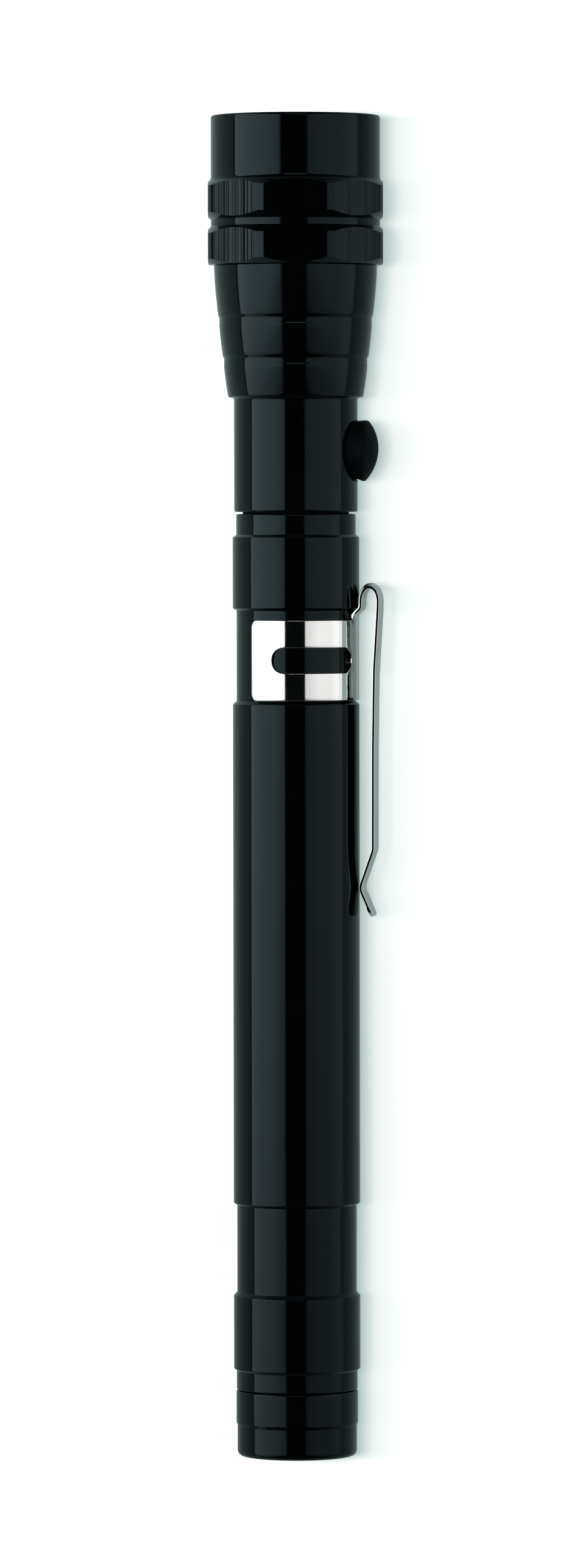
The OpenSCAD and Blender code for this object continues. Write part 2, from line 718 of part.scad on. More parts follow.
// Rubber button: an inner flange that keeps it in, a waist, a rim and a dome
module button_cap() {
    waist_r = button_waist_d / 2;
    rim_r = waist_r + button_rim;
    dome_r = (rim_r * rim_r + button_dome * button_dome) / (2 * button_dome);
    sweep = asin(rim_r / dome_r);
    top = button_rim_r + button_dome;
    color(RUBBER) laid() translate([0, 0, head_z + button_z]) turned(button_turn) rotate([0, 90, 0])
        rotate_extrude() polygon(concat(
            [
                [0, flange_r], [flange_half, flange_r], [flange_half, flange_r + flange_t],
                [waist_r, flange_r + flange_t], [waist_r, button_rim_r - 2 * button_rim_t],
                [rim_r, button_rim_r - button_rim_t],
            ],
            round_edge([0, top - dome_r], dome_r, 90 - sweep, 90, 7)
        ));
}

// Plug that closes the housing's rear end, holds the gooseneck and seats in the barrel's mouth
module neck_plug() {
    spigot = plug_reach + head_gap;
    spigot_r = bore_d / 2 - slide_gap;
    body_r = housing_bore_d / 2 - press_gap;
    color(ANODISED) laid() translate([0, 0, head_z]) difference() {
        rotate_extrude() polygon([
            [0, -spigot], [spigot_r - plug_bevel, -spigot], [spigot_r, plug_bevel - spigot],
            [spigot_r, -seam_gap], [body_r, -seam_gap], [body_r, plug_body_len], [0, plug_body_len],
        ]);
        translate([0, 0, -spigot - 1])
            cylinder(d = neck_d + 2 * press_gap, h = spigot + plug_body_len - plug_floor + 1);
    }
}

// Flexible neck, shown straight: a tube wound into close ribs
module gooseneck() {
    foot = rod_foot + journal_flange + bush_len + 3 * seam_gap;
    top = head_z + plug_body_len - plug_floor - seam_gap;
    ribs = floor((top - foot) / rib_pitch);
    pitch = (top - foot) / ribs;
    root_r = neck_d / 2 - rib_depth;
    color(CHROME) laid() translate([0, 0, foot]) rotate_extrude() polygon(concat(
        [
            for (i = [0:ribs - 1], p = [[root_r, 0], [neck_d / 2, 0.3], [neck_d / 2, 0.7]])
                [p[0], pitch * (i + p[1])],
        ],
        [[root_r, top - foot], [neck_bore / 2, top - foot], [neck_bore / 2, 0]]
    ));
}

// Stepped pin in the gooseneck's lower end, on which the lowest bush turns
module neck_journal() {
    journal = journal_flange + bush_len + 2 * seam_gap;
    color(BRASS) laid() translate([0, 0, rod_foot]) {
        cylinder(d = neck_d, h = journal_flange);
        cylinder(d = journal_d, h = journal);
        cylinder(d = neck_bore - 2 * press_gap, h = journal + journal_pin_len);
    }
}

module neck_bush() {
    color(BRASS) laid() translate([0, 0, rod_foot + journal_flange + seam_gap])
        tube(rod_id(2) - 2 * slide_gap, journal_d + 2 * slide_gap, bush_len);
}

// One rod tube, rolled in at its top to a lip that keeps the next one in
module rod_tube(i) {
    mouth = rod_od(i + 1) / 2 + slide_gap;
    edge = rod_wall;
    color(CHROME) laid() translate([0, 0, rod_foot]) rotate_extrude() polygon(concat(
        [[rod_id(i) / 2, 0], [rod_od(i) / 2, 0]],
        round_edge([rod_od(i) / 2 - edge, rod_len - edge], edge, 0, 90),
        [[mouth, rod_len], [mouth, rod_len - lip_len], [rod_id(i) / 2, rod_len - lip_len]]
    ));
}

// Friction bush pressed on a rod's foot, running in a bore
module rod_bush(i, bore) {
    color(BRASS) laid() translate([0, 0, rod_foot])
        tube(bore - 2 * slide_gap, rod_od(i) + 2 * press_gap, bush_len);
}

module inner_rod() rod_tube(2);
module inner_rod_bush() rod_bush(2, rod_id(1));
module middle_rod() rod_tube(1);
module middle_rod_bush() rod_bush(1, rod_id(0));
module outer_rod() rod_tube(0);
module outer_rod_slider() rod_bush(0, bore_d);

module guide_bush() {
    color(PLASTIC) laid() translate([0, 0, rod_top - guide_len])
        tube(bore_d - 2 * press_gap, rod_d + 2 * slide_gap, guide_len);
}

// Main tube, turned into a foot, bands, grooves, grip and collar with bevelled shoulders
module barrel() {
    count = len(barrel_lens);
    half = shoulder_bevel / 2;
    edge = end_bevel;
    sections = [
        for (i = [0:count - 1], end = [0:1])
            let (z = sum_to(barrel_lens, i + end), outer = i + end == 0 || i + end == count)
            [barrel_ds[i] / 2, outer ? abs(z - edge) : z + (end == 0 ? half : -half)],
    ];
    color(ANODISED) laid() translate([0, 0, barrel_z]) rotate_extrude() polygon(concat(
        [[bore_d / 2, 0], [foot_d / 2 - edge, 0]],
        sections,
        [[collar_d / 2 - edge, barrel_top - barrel_z], [bore_d / 2, barrel_top - barrel_z]]
    ));
}

// Section of the band's ring between two angles from the arm
module band_sector(from, to, h, thick) {
    rotate(from) rotate_extrude(angle = to - from) translate([band_r - thick / 2, 0]) square([thick, h]);
}

// Rounds off one corner of a wing, which ends at an angle from the arm
module wing_corner(angle, sign, z, up) {
    inset = asin(clip_corner / band_r);
    rotate(angle - sign * inset) translate([0, 0, z - up * clip_corner]) rotate([0, 90, 0]) difference() {
        translate([up > 0 ? -2 * clip_corner : 0, sign > 0 ? 0 : -2 * clip_corner, 0])
            cube([2 * clip_corner, 2 * clip_corner, 2 * band_r]);
        cylinder(r = clip_corner, h = 4 * band_r);
    }
}

// Slot along one wing, with round ends
module wing_slot(sign) {
    inset = asin(slot_h / 2 / band_r);
    from = slot_start_angle + inset;
    to = clip_wrap_angle - slot_end_angle - inset;
    rotate(sign > 0 ? from : -to) rotate_extrude(angle = to - from)
        translate([band_r - clip_thick, -slot_h / 2]) square([2 * clip_thick, slot_h]);
    for (a = [from, to]) rotate(sign * a) rotate([0, 90, 0]) cylinder(d = slot_h, h = 2 * band_r);
}

// Quarter of the loop over the top of the clip, between two angles about its axis, with its pressed rib
module loop_quarter(from, to) {
    translate([strand_r + loop_d / 2, 0, loop_z]) rotate([90, 0, 0]) rotate(from) difference() {
        union() {
            loop_ring(to - from, (loop_d - clip_thick) / 2, clip_thick, clip_width);
            loop_ring(to - from, loop_d / 2, clip_thick / 2 + rib_h, rib_w);
        }
        loop_ring(to - from, loop_d / 2 - clip_thick, clip_thick / 2 + rib_h, rib_groove_w);
    }
}

module loop_ring(angle, r, thick, width) {
    rotate_extrude(angle = angle) translate([r, -width / 2]) square([thick, width]);
}

// Extrudes an outline drawn in distance and height across the width of the arm
module across(width) {
    translate([0, width / 2, 0]) rotate([90, 0, 0]) linear_extrude(width) children();
}

// Slotted band round the barrel, with the strand that rises to the loop
module clip_band() {
    kink = eased([
        [band_r, clip_top - clip_corner], [band_r, groove_end - kink_below],
        [strand_r, groove_end + kink_above], [strand_r, loop_z],
    ], kink_ease);
    color(CHROME) laid() turned(clip_turn) {
        difference() {
            translate([0, 0, clip_z]) band_sector(-clip_wrap_angle, clip_wrap_angle, clip_band_h, clip_thick);
            for (sign = [-1, 1]) {
                translate([0, 0, clip_z + clip_band_h / 2]) wing_slot(sign);
                wing_corner(sign * clip_wrap_angle, sign, clip_top, 1);
                wing_corner(sign * clip_wrap_angle, sign, clip_z, -1);
            }
        }
        across(clip_width) polygon(strip(kink, clip_thick));
        loop_quarter(90, 180);
    }
}

// Sprung arm, from the top of the loop down to its toe and flared tip, with a rib pressed outwards.
// The loop is parted at its top, and the gap there closes when the arm is sprung open.
module clip_arm() {
    path = eased([
        [arm_top_r, loop_z], [arm_top_r, loop_z - 2 * arm_ease], [arm_r, loop_z - arm_lean_len],
        [arm_r, heel_z], [toe_r, toe_z], [arm_r, tip_z],
    ], arm_ease);
    corner = clip_width / 4;
    color(CHROME) laid() turned(clip_turn) {
        difference() {
            union() {
                intersection() {
                    across(clip_width) polygon(strip(path, clip_thick));
                    rotate([90, 0, 90]) linear_extrude(2 * arm_top_r) polygon(concat(
                        [[clip_width / 2, loop_z + 1], [-clip_width / 2, loop_z + 1]],
                        round_edge([corner - clip_width / 2, tip_z + corner], corner, 180, 270),
                        round_edge([clip_width / 2 - corner, tip_z + corner], corner, 270, 360)
                    ));
                }
                pressed(path, -clip_thick / 2, rib_w, rib_len);
            }
            pressed(path, clip_thick / 2, rib_groove_w, rib_len - rib_wall);
        }
        loop_quarter(0, 90 - flex_angle - loop_seam_angle);
    }
}

// Stretch of the arm's rib, or of the groove behind it, on one face of the steel
module pressed(path, shift, width, length) {
    intersection() {
        across(width) polygon(strip(shifted(path, shift), 2 * rib_h));
        translate([0, -width, loop_z - length]) cube([2 * arm_top_r, 2 * width, length]);
    }
}

// Cap that closes the tail, with a seal groove in its neck and a well for the magnet
module tail_cap() {
    neck_r = bore_d / 2 - slide_gap;
    groove_z = tail_len + seal_land;
    bevel = tail_bevel;
    color(ANODISED) laid() rotate_extrude() polygon(concat(
        [[tail_magnet_d / 2 + press_gap, tail_magnet_len + seam_gap], [tail_magnet_d / 2 + press_gap, 0]],
        round_edge([tail_end_d / 2 - tail_edge, tail_edge], tail_edge, -90, 0),
        [
            [tail_end_d / 2, tail_end_len - bevel], [tail_rim_d / 2, tail_end_len + bevel],
            [tail_rim_d / 2, tail_len - bevel], [tail_rim_d / 2 - bevel, tail_len],
            [neck_r, tail_len], [neck_r, groove_z], [neck_r - seal_depth, groove_z],
            [neck_r - seal_depth, groove_z + seal_groove_len], [neck_r, groove_z + seal_groove_len],
            [neck_r, tail_len + tail_neck_len - thread_bevel],
            [neck_r - thread_bevel, tail_len + tail_neck_len],
            [0, tail_len + tail_neck_len], [0, tail_magnet_len + seam_gap],
        ]
    ));
}

module tail_seal() {
    color(RUBBER) laid() translate([0, 0, tail_len + seal_land + seal_groove_len / 2])
        sealing_ring(bore_d, bore_d - 2 * slide_gap);
}

module tail_magnet() {
    r = tail_magnet_d / 2;
    edge = magnet_bevel;
    color(NICKEL) laid() rotate_extrude() polygon([
        [0, 0], [r - edge, 0], [r, edge], [r, tail_magnet_len], [0, tail_magnet_len],
    ]);
}

bezel();
bezel_seal();
light_plate();
front_magnet();
light_diodes();
light_board();
light_contact();
switch_housing();
battery_sleeve();
button_cells();
battery_spring();
contact_board();
switch_carrier();
push_switch();
switch_plunger();
button_cap();
neck_plug();
gooseneck();
neck_journal();
neck_bush();
inner_rod();
inner_rod_bush();
middle_rod();
middle_rod_bush();
outer_rod();
outer_rod_slider();
guide_bush();
barrel();
clip_band();
clip_arm();
tail_cap();
tail_seal();
tail_magnet();
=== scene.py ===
"""Telescopic flashlight: finely turned pieces, a bent clip and finishes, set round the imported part.

Sizes are in millimetres, in the flashlight's own terms: a distance out from its axis, an angle round
that axis from +X up towards +Z, and a height along it above the tail. at() turns them into the row
frame, which is in metres.
"""
import cmath
import math
import random
from itertools import product

import bmesh
import bpy
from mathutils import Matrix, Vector
from mathutils.geometry import delaunay_2d_cdt


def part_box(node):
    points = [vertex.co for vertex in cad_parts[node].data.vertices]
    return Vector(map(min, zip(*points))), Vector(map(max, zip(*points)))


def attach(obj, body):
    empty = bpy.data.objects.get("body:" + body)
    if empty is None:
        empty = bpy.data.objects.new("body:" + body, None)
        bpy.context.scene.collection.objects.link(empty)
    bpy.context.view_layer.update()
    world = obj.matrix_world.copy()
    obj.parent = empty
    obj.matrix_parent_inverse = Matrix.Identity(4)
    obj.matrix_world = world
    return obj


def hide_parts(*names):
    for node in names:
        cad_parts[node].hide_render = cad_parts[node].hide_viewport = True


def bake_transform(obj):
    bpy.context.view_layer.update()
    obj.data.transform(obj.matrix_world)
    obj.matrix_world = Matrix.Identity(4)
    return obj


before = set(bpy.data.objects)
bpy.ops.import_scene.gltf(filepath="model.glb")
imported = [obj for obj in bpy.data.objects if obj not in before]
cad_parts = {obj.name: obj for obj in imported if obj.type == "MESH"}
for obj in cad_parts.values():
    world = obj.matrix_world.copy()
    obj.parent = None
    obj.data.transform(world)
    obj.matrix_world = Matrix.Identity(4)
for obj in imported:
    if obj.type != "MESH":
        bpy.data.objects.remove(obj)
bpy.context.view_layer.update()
scene = bpy.context.scene

MM = 0.001
TAU = 2 * math.pi
# Columns round turned pieces: most of them, shells, the button, the front magnet, cups and thin pieces
ROUND, SHELL_ROUND, BUTTON_ROUND, MAGNET_ROUND, CUP_ROUND, THIN_ROUND = 144, 192, 96, 72, 64, 48
# Turn of one step along a rounded corner, and the most of a straight that the arc at one end takes
ARC_STEP = math.radians(12)
ARC_REACH = 0.49
# Roundings of edges, from nearly sharp to soft
HAIR, FINE, THIN, EDGE, SOFT, FULL = 0.02, 0.05, 0.06, 0.1, 0.15, 0.3
# Clearance round a seated piece, and between pieces that only stand near each other
SEAT, GAP = 0.01, 0.05
# Straights over LONG get a row at HOLD from each end, which keeps their shading straight
LONG, HOLD = 1.0, 0.06
# Points closer than this, in metres, are one point, and edges over this angle are sharp
MERGE = 1e-7
CRISP = math.radians(33)

TAIL_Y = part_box("tail_cap")[0].y
AXIS_Z = sum(corner.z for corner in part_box("barrel")) / 2


def span(node):
    """Heights of a node's two ends above the tail."""
    low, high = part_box(node)
    return (low.y - TAIL_Y) / MM, (high.y - TAIL_Y) / MM


def at(r, angle, a):
    """Row point at a distance from the axis, an angle round it and a height above the tail."""
    return Vector((r * math.cos(angle) * MM, TAIL_Y + a * MM, AXIS_Z + r * math.sin(angle) * MM))


# Meshes

def solid(name, points, faces, crisp=()):
    """Piece from points and faces, merged and turned outwards, with the faces in crisp left flat."""
    mesh = bpy.data.meshes.new(name)
    mesh.from_pydata(points, [], faces)
    work = bmesh.new()
    work.from_mesh(mesh)
    for i, face in enumerate(work.faces):
        face.smooth = i not in crisp
    bmesh.ops.remove_doubles(work, verts=work.verts, dist=MERGE)
    bmesh.ops.dissolve_degenerate(work, edges=work.edges, dist=MERGE)
    bmesh.ops.recalc_face_normals(work, faces=work.faces)
    work.to_mesh(mesh)
    work.free()
    mesh.set_sharp_from_angle(angle=CRISP)
    piece = bpy.data.objects.new(name, mesh)
    scene.collection.objects.link(piece)
    return piece


def skin(name, rows, closed, crisp_rows=(), crisp_columns=()):
    """Piece over rows of points, each a ring. A closed piece joins its last row to its first."""
    columns = len(rows[0])
    faces = []
    crisp = set()
    for i in range(len(rows) - (not closed)):
        upper = (i + 1) % len(rows)
        for j in range(columns):
            k = (j + 1) % columns
            if i in crisp_rows and j in crisp_columns:
                crisp.add(len(faces))
            faces.append((i * columns + j, i * columns + k, upper * columns + k, upper * columns + j))
    return solid(name, [point for row in rows for point in row], faces, crisp)


def rounded(corners, closed):
    """Outline through corners (distance, height, radius), with an arc at those that have a radius."""
    points = [complex(*corner[:2]) for corner in corners]
    outline = []
    for i, corner in enumerate(corners):
        last = i == len(corners) - 1
        radius = corner[2] if len(corner) > 2 and (closed or (i > 0 and not last)) else 0
        if radius == 0:
            outline.append(points[i])
            continue
        before = points[i] - points[i - 1]
        after = points[(i + 1) % len(points)] - points[i]
        turn = cmath.phase(after / before)
        reach = min(radius * math.tan(abs(turn) / 2), ARC_REACH * abs(before), ARC_REACH * abs(after))
        radius = reach / math.tan(abs(turn) / 2)
        start = points[i] - reach * before / abs(before)
        centre = start + math.copysign(radius, turn) * 1j * before / abs(before)
        steps = max(2, round(abs(turn) / ARC_STEP))
        for k in range(steps + 1):
            outline.append(centre + (start - centre) * cmath.exp(1j * turn * k / steps))
    held = []
    for i, point in enumerate(outline):
        held.append(point)
        ahead = outline[(i + 1) % len(outline)] - point
        if abs(ahead) > LONG and (closed or i < len(outline) - 1):
            nudge = HOLD * ahead / abs(ahead)
            held += [point + nudge, point + ahead - nudge]
    return [(point.real, point.imag) for point in held]


def turned(name, corners, place=at, columns=ROUND):
    """Piece of revolution from an outline, which is open if it starts and ends on the axis."""
    closed = corners[0][0] > 0
    angles = [TAU * j / columns for j in range(columns)]
    return skin(name, [[place(r, t, a) for t in angles] for r, a in rounded(corners, closed)], closed)


def settle(piece, crisp=CRISP):
    """Makes a piece's modifiers part of its mesh, and edges over an angle sharp."""
    graph = bpy.context.evaluated_depsgraph_get()
    mesh = bpy.data.meshes.new_from_object(piece.evaluated_get(graph))
    piece.modifiers.clear()
    piece.data = mesh
    mesh.name = piece.name
    mesh.set_sharp_from_angle(angle=crisp)
    return piece


def cut(piece, cutters):
    """Takes the cutters out of a piece."""
    for cutter in cutters:
        tool = piece.modifiers.new("cut", "BOOLEAN")
        tool.operation = "DIFFERENCE"
        tool.solver = "EXACT"
        tool.object = cutter
    settle(piece)
    for cutter in cutters:
        bpy.data.objects.remove(cutter)
    return piece


# Node trees

def feed(tree, node, inputs):
    """Gives a node its inputs: values, sockets of other nodes, or other nodes for their first sockets."""
    for socket, value in inputs.items():
        if isinstance(value, bpy.types.Node):
            value = value.outputs[0]
        if isinstance(value, bpy.types.NodeSocket):
            tree.links.new(value, node.inputs[socket])
        else:
            node.inputs[socket].default_value = value


def add(tree, kind, inputs=(), **settings):
    """Adds a node with its settings and inputs."""
    node = tree.nodes.new(kind)
    for name, value in settings.items():
        setattr(node, name, value)
    feed(tree, node, dict(inputs))
    return node


def ranged(tree, source, given, shown):
    """Value that runs over the range shown while a source runs over the range given."""
    return add(tree, "ShaderNodeMapRange", {
        "Value": source, "From Min": given[0], "From Max": given[1],
        "To Min": shown[0], "To Max": shown[1],
    })


def placed(tree):
    """Point in the row frame that a shader is at, and its separate coordinates."""
    spot = add(tree, "ShaderNodeTexCoord").outputs["Object"]
    return spot, add(tree, "ShaderNodeSeparateXYZ", {"Vector": spot}).outputs


def geometry_tree(name, sockets):
    """Node tree with named inputs, its input node and a geometry output."""
    tree = bpy.data.node_groups.new(name, "GeometryNodeTree")
    for label, kind in sockets.items():
        tree.interface.new_socket(label, in_out="INPUT", socket_type="NodeSocket" + kind)
    tree.interface.new_socket("Geometry", in_out="OUTPUT", socket_type="NodeSocketGeometry")
    return tree, tree.nodes.new("NodeGroupInput").outputs


def realised(tree, geometry):
    """Ends a tree with plain geometry."""
    real = add(tree, "GeometryNodeRealizeInstances", {"Geometry": geometry})
    add(tree, "NodeGroupOutput", {"Geometry": real})
    return tree


def grown(name, tree, values):
    """Plain mesh piece that a tree makes from its inputs."""
    piece = bpy.data.objects.new(name, bpy.data.meshes.new(name))
    growth = piece.modifiers.new("growth", "NODES")
    growth.node_group = tree
    for socket in tree.interface.items_tree:
        if socket.in_out == "INPUT":
            growth[socket.identifier] = values[socket.name]
    scene.collection.objects.link(piece)
    return settle(piece)


# Points along one turn of a wound wire
WIRE_STEPS = 40


def wound_tree():
    """Wire wound round the flashlight's axis, such as a thread or the neck's ribs."""
    tree, given = geometry_tree("wound_wire", {
        "Turns": "Float", "Radius": "Float", "Length": "Float", "Wire": "Float", "Sides": "Int",
        "Foot": "Vector",
    })
    path = add(tree, "GeometryNodeCurveSpiral", {
        "Resolution": WIRE_STEPS, "Rotations": given["Turns"], "Height": given["Length"],
        "Start Radius": given["Radius"], "End Radius": given["Radius"],
    })
    section = add(tree, "GeometryNodeCurvePrimitiveCircle", {
        "Resolution": given["Sides"], "Radius": given["Wire"],
    })
    wire = add(tree, "GeometryNodeCurveToMesh", {
        "Curve": path, "Profile Curve": section, "Fill Caps": True,
    })
    laid = add(tree, "GeometryNodeTransform", {
        "Geometry": wire, "Rotation": (-TAU / 4, 0, 0), "Translation": given["Foot"],
    })
    return realised(tree, laid)


def ring_tree():
    """Copies of one piece, evenly spaced on a circle round the flashlight's axis."""
    tree, given = geometry_tree("ring_of_pieces", {
        "Piece": "Object", "Count": "Int", "Radius": "Float", "Start": "Vector", "Centre": "Vector",
    })
    places = add(tree, "GeometryNodeMeshCircle", {
        "Vertices": given["Count"], "Radius": given["Radius"],
    })
    spun = add(tree, "GeometryNodeTransform", {
        "Geometry": places, "Rotation": given["Start"], "Translation": given["Centre"],
    })
    piece = add(tree, "GeometryNodeObjectInfo", {"Object": given["Piece"]})
    copies = add(tree, "GeometryNodeInstanceOnPoints", {
        "Points": spun, "Instance": piece.outputs["Geometry"],
    })
    return realised(tree, copies)


# Finishes

# Turning marks per metre of the axis, and where the patches' noise passes from one tone to the other
TURNING = 5000
PATCH_ENDS = (0.3, 0.7)


def finish(name, tones, patch, roughness, grain, press, lines=0, **sockets):
    """Procedural finish: two tones and two roughnesses that mix in patches, and a grain pressed into it.

    patch and grain are the noises' scales, per metre. press is the grain's depth and lines the depth of
    the fine marks that turning leaves round the axis, both in metres.
    """
    material = bpy.data.materials.new(name)
    material.use_nodes = True
    tree = material.node_tree
    shader = tree.nodes["Principled BSDF"]
    feed(tree, shader, {socket.replace("_", " "): value for socket, value in sockets.items()})
    spot = add(tree, "ShaderNodeTexCoord").outputs["Object"]
    cloud = add(tree, "ShaderNodeTexNoise", {"Vector": spot, "Scale": patch, "Detail": 4.0})
    tone = add(tree, "ShaderNodeValToRGB", {"Fac": cloud})
    for stop, where, colour in zip(tone.color_ramp.elements, PATCH_ENDS, tones):
        stop.position = where
        stop.color = (*colour, 1)
    matt = ranged(tree, cloud, PATCH_ENDS, roughness)
    speck = add(tree, "ShaderNodeTexNoise", {"Vector": spot, "Scale": grain, "Detail": 2.0})
    relief = add(tree, "ShaderNodeBump", {"Strength": 1.0, "Distance": press, "Height": speck})
    if lines:
        along = add(tree, "ShaderNodeSeparateXYZ", {"Vector": spot}).outputs["Y"]
        ridge = add(tree, "ShaderNodeTexNoise", {"W": along, "Scale": TURNING, "Detail": 3.0},
                    noise_dimensions="1D")
        relief = add(tree, "ShaderNodeBump", {
            "Strength": 1.0, "Distance": lines, "Height": ridge, "Normal": relief,
        })
    feed(tree, shader, {"Base Color": tone, "Roughness": matt, "Normal": relief})
    return material


COOL_GLOSS = (0.62, 0.91, 1.0, 1)
ANODISED = finish(
    "anodised", ((0.0005, 0.0006, 0.0007), (0.0009, 0.0011, 0.0012)), 120, (0.07, 0.09), 11000, 1.2e-6,
    lines=2e-6, Specular_IOR_Level=0.2, Specular_Tint=COOL_GLOSS)
MATT_ANODISED = finish(
    "matt_anodised", ((0.0005, 0.0006, 0.0007), (0.0011, 0.0013, 0.0014)), 300, (0.5, 0.65), 9000, 6e-6,
    lines=4e-6, Specular_IOR_Level=0.05, Specular_Tint=COOL_GLOSS)
CHROME = finish(
    "chrome", ((0.86, 0.86, 0.84), (0.82, 0.82, 0.81)), 150, (0.035, 0.06), 2500, 1.2e-6, Metallic=1.0)
TUBE_CHROME = finish(
    "tube_chrome", ((0.85, 0.85, 0.84), (0.78, 0.79, 0.79)), 90, (0.05, 0.09), 6000, 0.6e-6,
    lines=0.8e-6, Metallic=1.0)
BRASS = finish(
    "brass", ((0.62, 0.42, 0.13), (0.5, 0.32, 0.09)), 300, (0.22, 0.34), 7000, 1.5e-6, lines=3e-6,
    Metallic=1.0)
NICKEL = finish(
    "nickel", ((0.62, 0.6, 0.56), (0.52, 0.51, 0.48)), 400, (0.16, 0.28), 9000, 1.5e-6, Metallic=1.0)
RUBBER = finish(
    "rubber", ((0.0008, 0.001, 0.0012), (0.0018, 0.0022, 0.0026)), 500, (0.55, 0.7), 12000, 12e-6,
    Specular_IOR_Level=0.1, Specular_Tint=COOL_GLOSS)
BLACK_PLASTIC = finish(
    "black_plastic", ((0.014, 0.014, 0.015), (0.022, 0.022, 0.023)), 300, (0.32, 0.46), 8000, 4e-6)
CIRCUIT_BOARD = finish(
    "circuit_board", ((0.01, 0.09, 0.035), (0.016, 0.13, 0.05)), 700, (0.25, 0.4), 9000, 3e-6,
    Coat_Weight=0.4)
REFLECTOR = finish(
    "reflector", ((0.9, 0.9, 0.9), (0.84, 0.85, 0.86)), 250, (0.08, 0.14), 5000, 1e-6, Metallic=1.0)
DIODE_RESIN = finish(
    "diode_resin", ((0.97, 0.985, 1.0), (0.93, 0.96, 0.99)), 400, (0.02, 0.05), 3000, 1e-6,
    Transmission_Weight=1.0, IOR=1.53)
PHOSPHOR = finish(
    "phosphor", ((0.85, 0.66, 0.08), (0.75, 0.56, 0.05)), 3000, (0.5, 0.7), 20000, 4e-6)

WOUND_WIRE = wound_tree()
RING_OF_PIECES = ring_tree()


def fit(piece, body, material, slot, *nodes):
    """Gives a piece its finish and sets it on a body, in place of the nodes it stands for."""
    piece.data.materials.clear()
    piece.data.materials.append(material)
    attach(piece, body)
    if nodes:
        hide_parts(*nodes)


def wound(name, pitch, radius, foot, length, wire, sides):
    """Wire wound round the axis from a height."""
    return grown(name, WOUND_WIRE, {
        "Turns": length / pitch, "Radius": radius * MM, "Length": length * MM, "Wire": wire * MM,
        "Sides": sides, "Foot": at(0, 0, foot),
    })


# Bezel

NECK_LEN = 7.0
BEZEL, BEZEL_TOP = span("bezel")[0] + NECK_LEN, span("bezel")[1]
# Grip rings: lengths with their slopes, the groove between them, and the slopes from tail to head
REAR_RING, RING_GROOVE, FRONT_RING = 4.87, 0.85, 5.48
REAR_SLOPES, FRONT_SLOPE = (0.1, 0.33), 0.27
FLOOR_R, CONE_R, FLAT_R, CORNER_R = 10.72, 10.97, 11.05, 11.75
# Length of the cone up to the flats and corners, per unit of its rise
CONE_RUN = 0.85
# Shares of a slope that get a row, and how far inside its ends a flat gets one
SLOPE_ROWS = (0, 0.04, 0.96, 1)
FLAT_HOLD = 0.012
# Brim, with the hollow curve at its foot, and the bore for the light
BRIM_R, BRIM_EDGE, BRIM_FOOT, HOLLOW_STEPS = 10.72, 0.3, 0.86, 8
LIGHT_BORE_R, LIGHT_BORE, MOUTH_BEVEL = 9.3, 10.9, 0.2
NECK_BORE_R, BEZEL_NECK_R = 7.3, 8.6
# Necks: land and groove of the seal, the land's end and the core's start beyond them, and the thread
SEAL_LAND, SEAL_GROOVE, SEAL_DEPTH = 0.6, 1.2, 0.8
LAND_END, CORE_START = 0.2, 0.4
THREAD_PITCH, THREAD_DEPTH, THREAD_SIDES = 1.0, 0.4, 4
THREAD_INSET, BEZEL_THREAD_INSET = 0.3, 0.5
FLATS, CORNER_STEPS = 8, 5
# Marks that the cutter left across each flat: their widths and how far they rise and fall
CUT_WIDTHS = (0.04, 0.13)
CUT_DEPTH = 0.0062


def bezel_columns(seed=11):
    """Angles round the grip rings with the distances there, and which of them are on a flat."""
    draw = random.Random(seed)
    half = math.sqrt(CORNER_R ** 2 - FLAT_R ** 2)
    edge = math.acos(FLAT_R / CORNER_R)
    strip = TAU / FLATS - 2 * edge
    columns = []
    crisp = set()
    for flat in range(FLATS):
        middle = TAU * flat / FLATS
        x = -half
        while x < half - CUT_WIDTHS[0]:
            depth = draw.uniform(-CUT_DEPTH, CUT_DEPTH) if x > -half else 0
            crisp.add(len(columns))
            columns.append((middle + math.atan2(x, FLAT_R + depth), math.hypot(FLAT_R + depth, x)))
            x += draw.uniform(*CUT_WIDTHS)
        for k in range(CORNER_STEPS):
            columns.append((middle + edge + strip * k / CORNER_STEPS, CORNER_R))
    return columns, crisp


def grip_ring(columns, low, high):
    """Rows over one eight-sided ring: a crisp cone at each end, and the flats between them."""
    def cone(end, toward):
        foot = end - toward * CONE_RUN * (FLAT_R - CONE_R)
        rows = []
        for share in SLOPE_ROWS:
            row = [(angle, (reach - CONE_R) * share) for angle, reach in columns]
            rows.append([at(CONE_R + up, angle, foot + toward * CONE_RUN * up) for angle, up in row])
        return rows

    return cone(low, 1) + [
        [at(reach, angle, low + CONE_RUN * (reach - FLAT_R) + FLAT_HOLD) for angle, reach in columns],
        [at(reach, angle, high - CONE_RUN * (reach - FLAT_R) - FLAT_HOLD) for angle, reach in columns],
    ] + cone(high, -1)[::-1]


def seal_groove(r, low, high):
    """Corners of the groove for a seal round a neck."""
    return [(r, low, FINE), (r - SEAL_DEPTH, low, EDGE), (r - SEAL_DEPTH, high, EDGE), (r, high, FINE)]


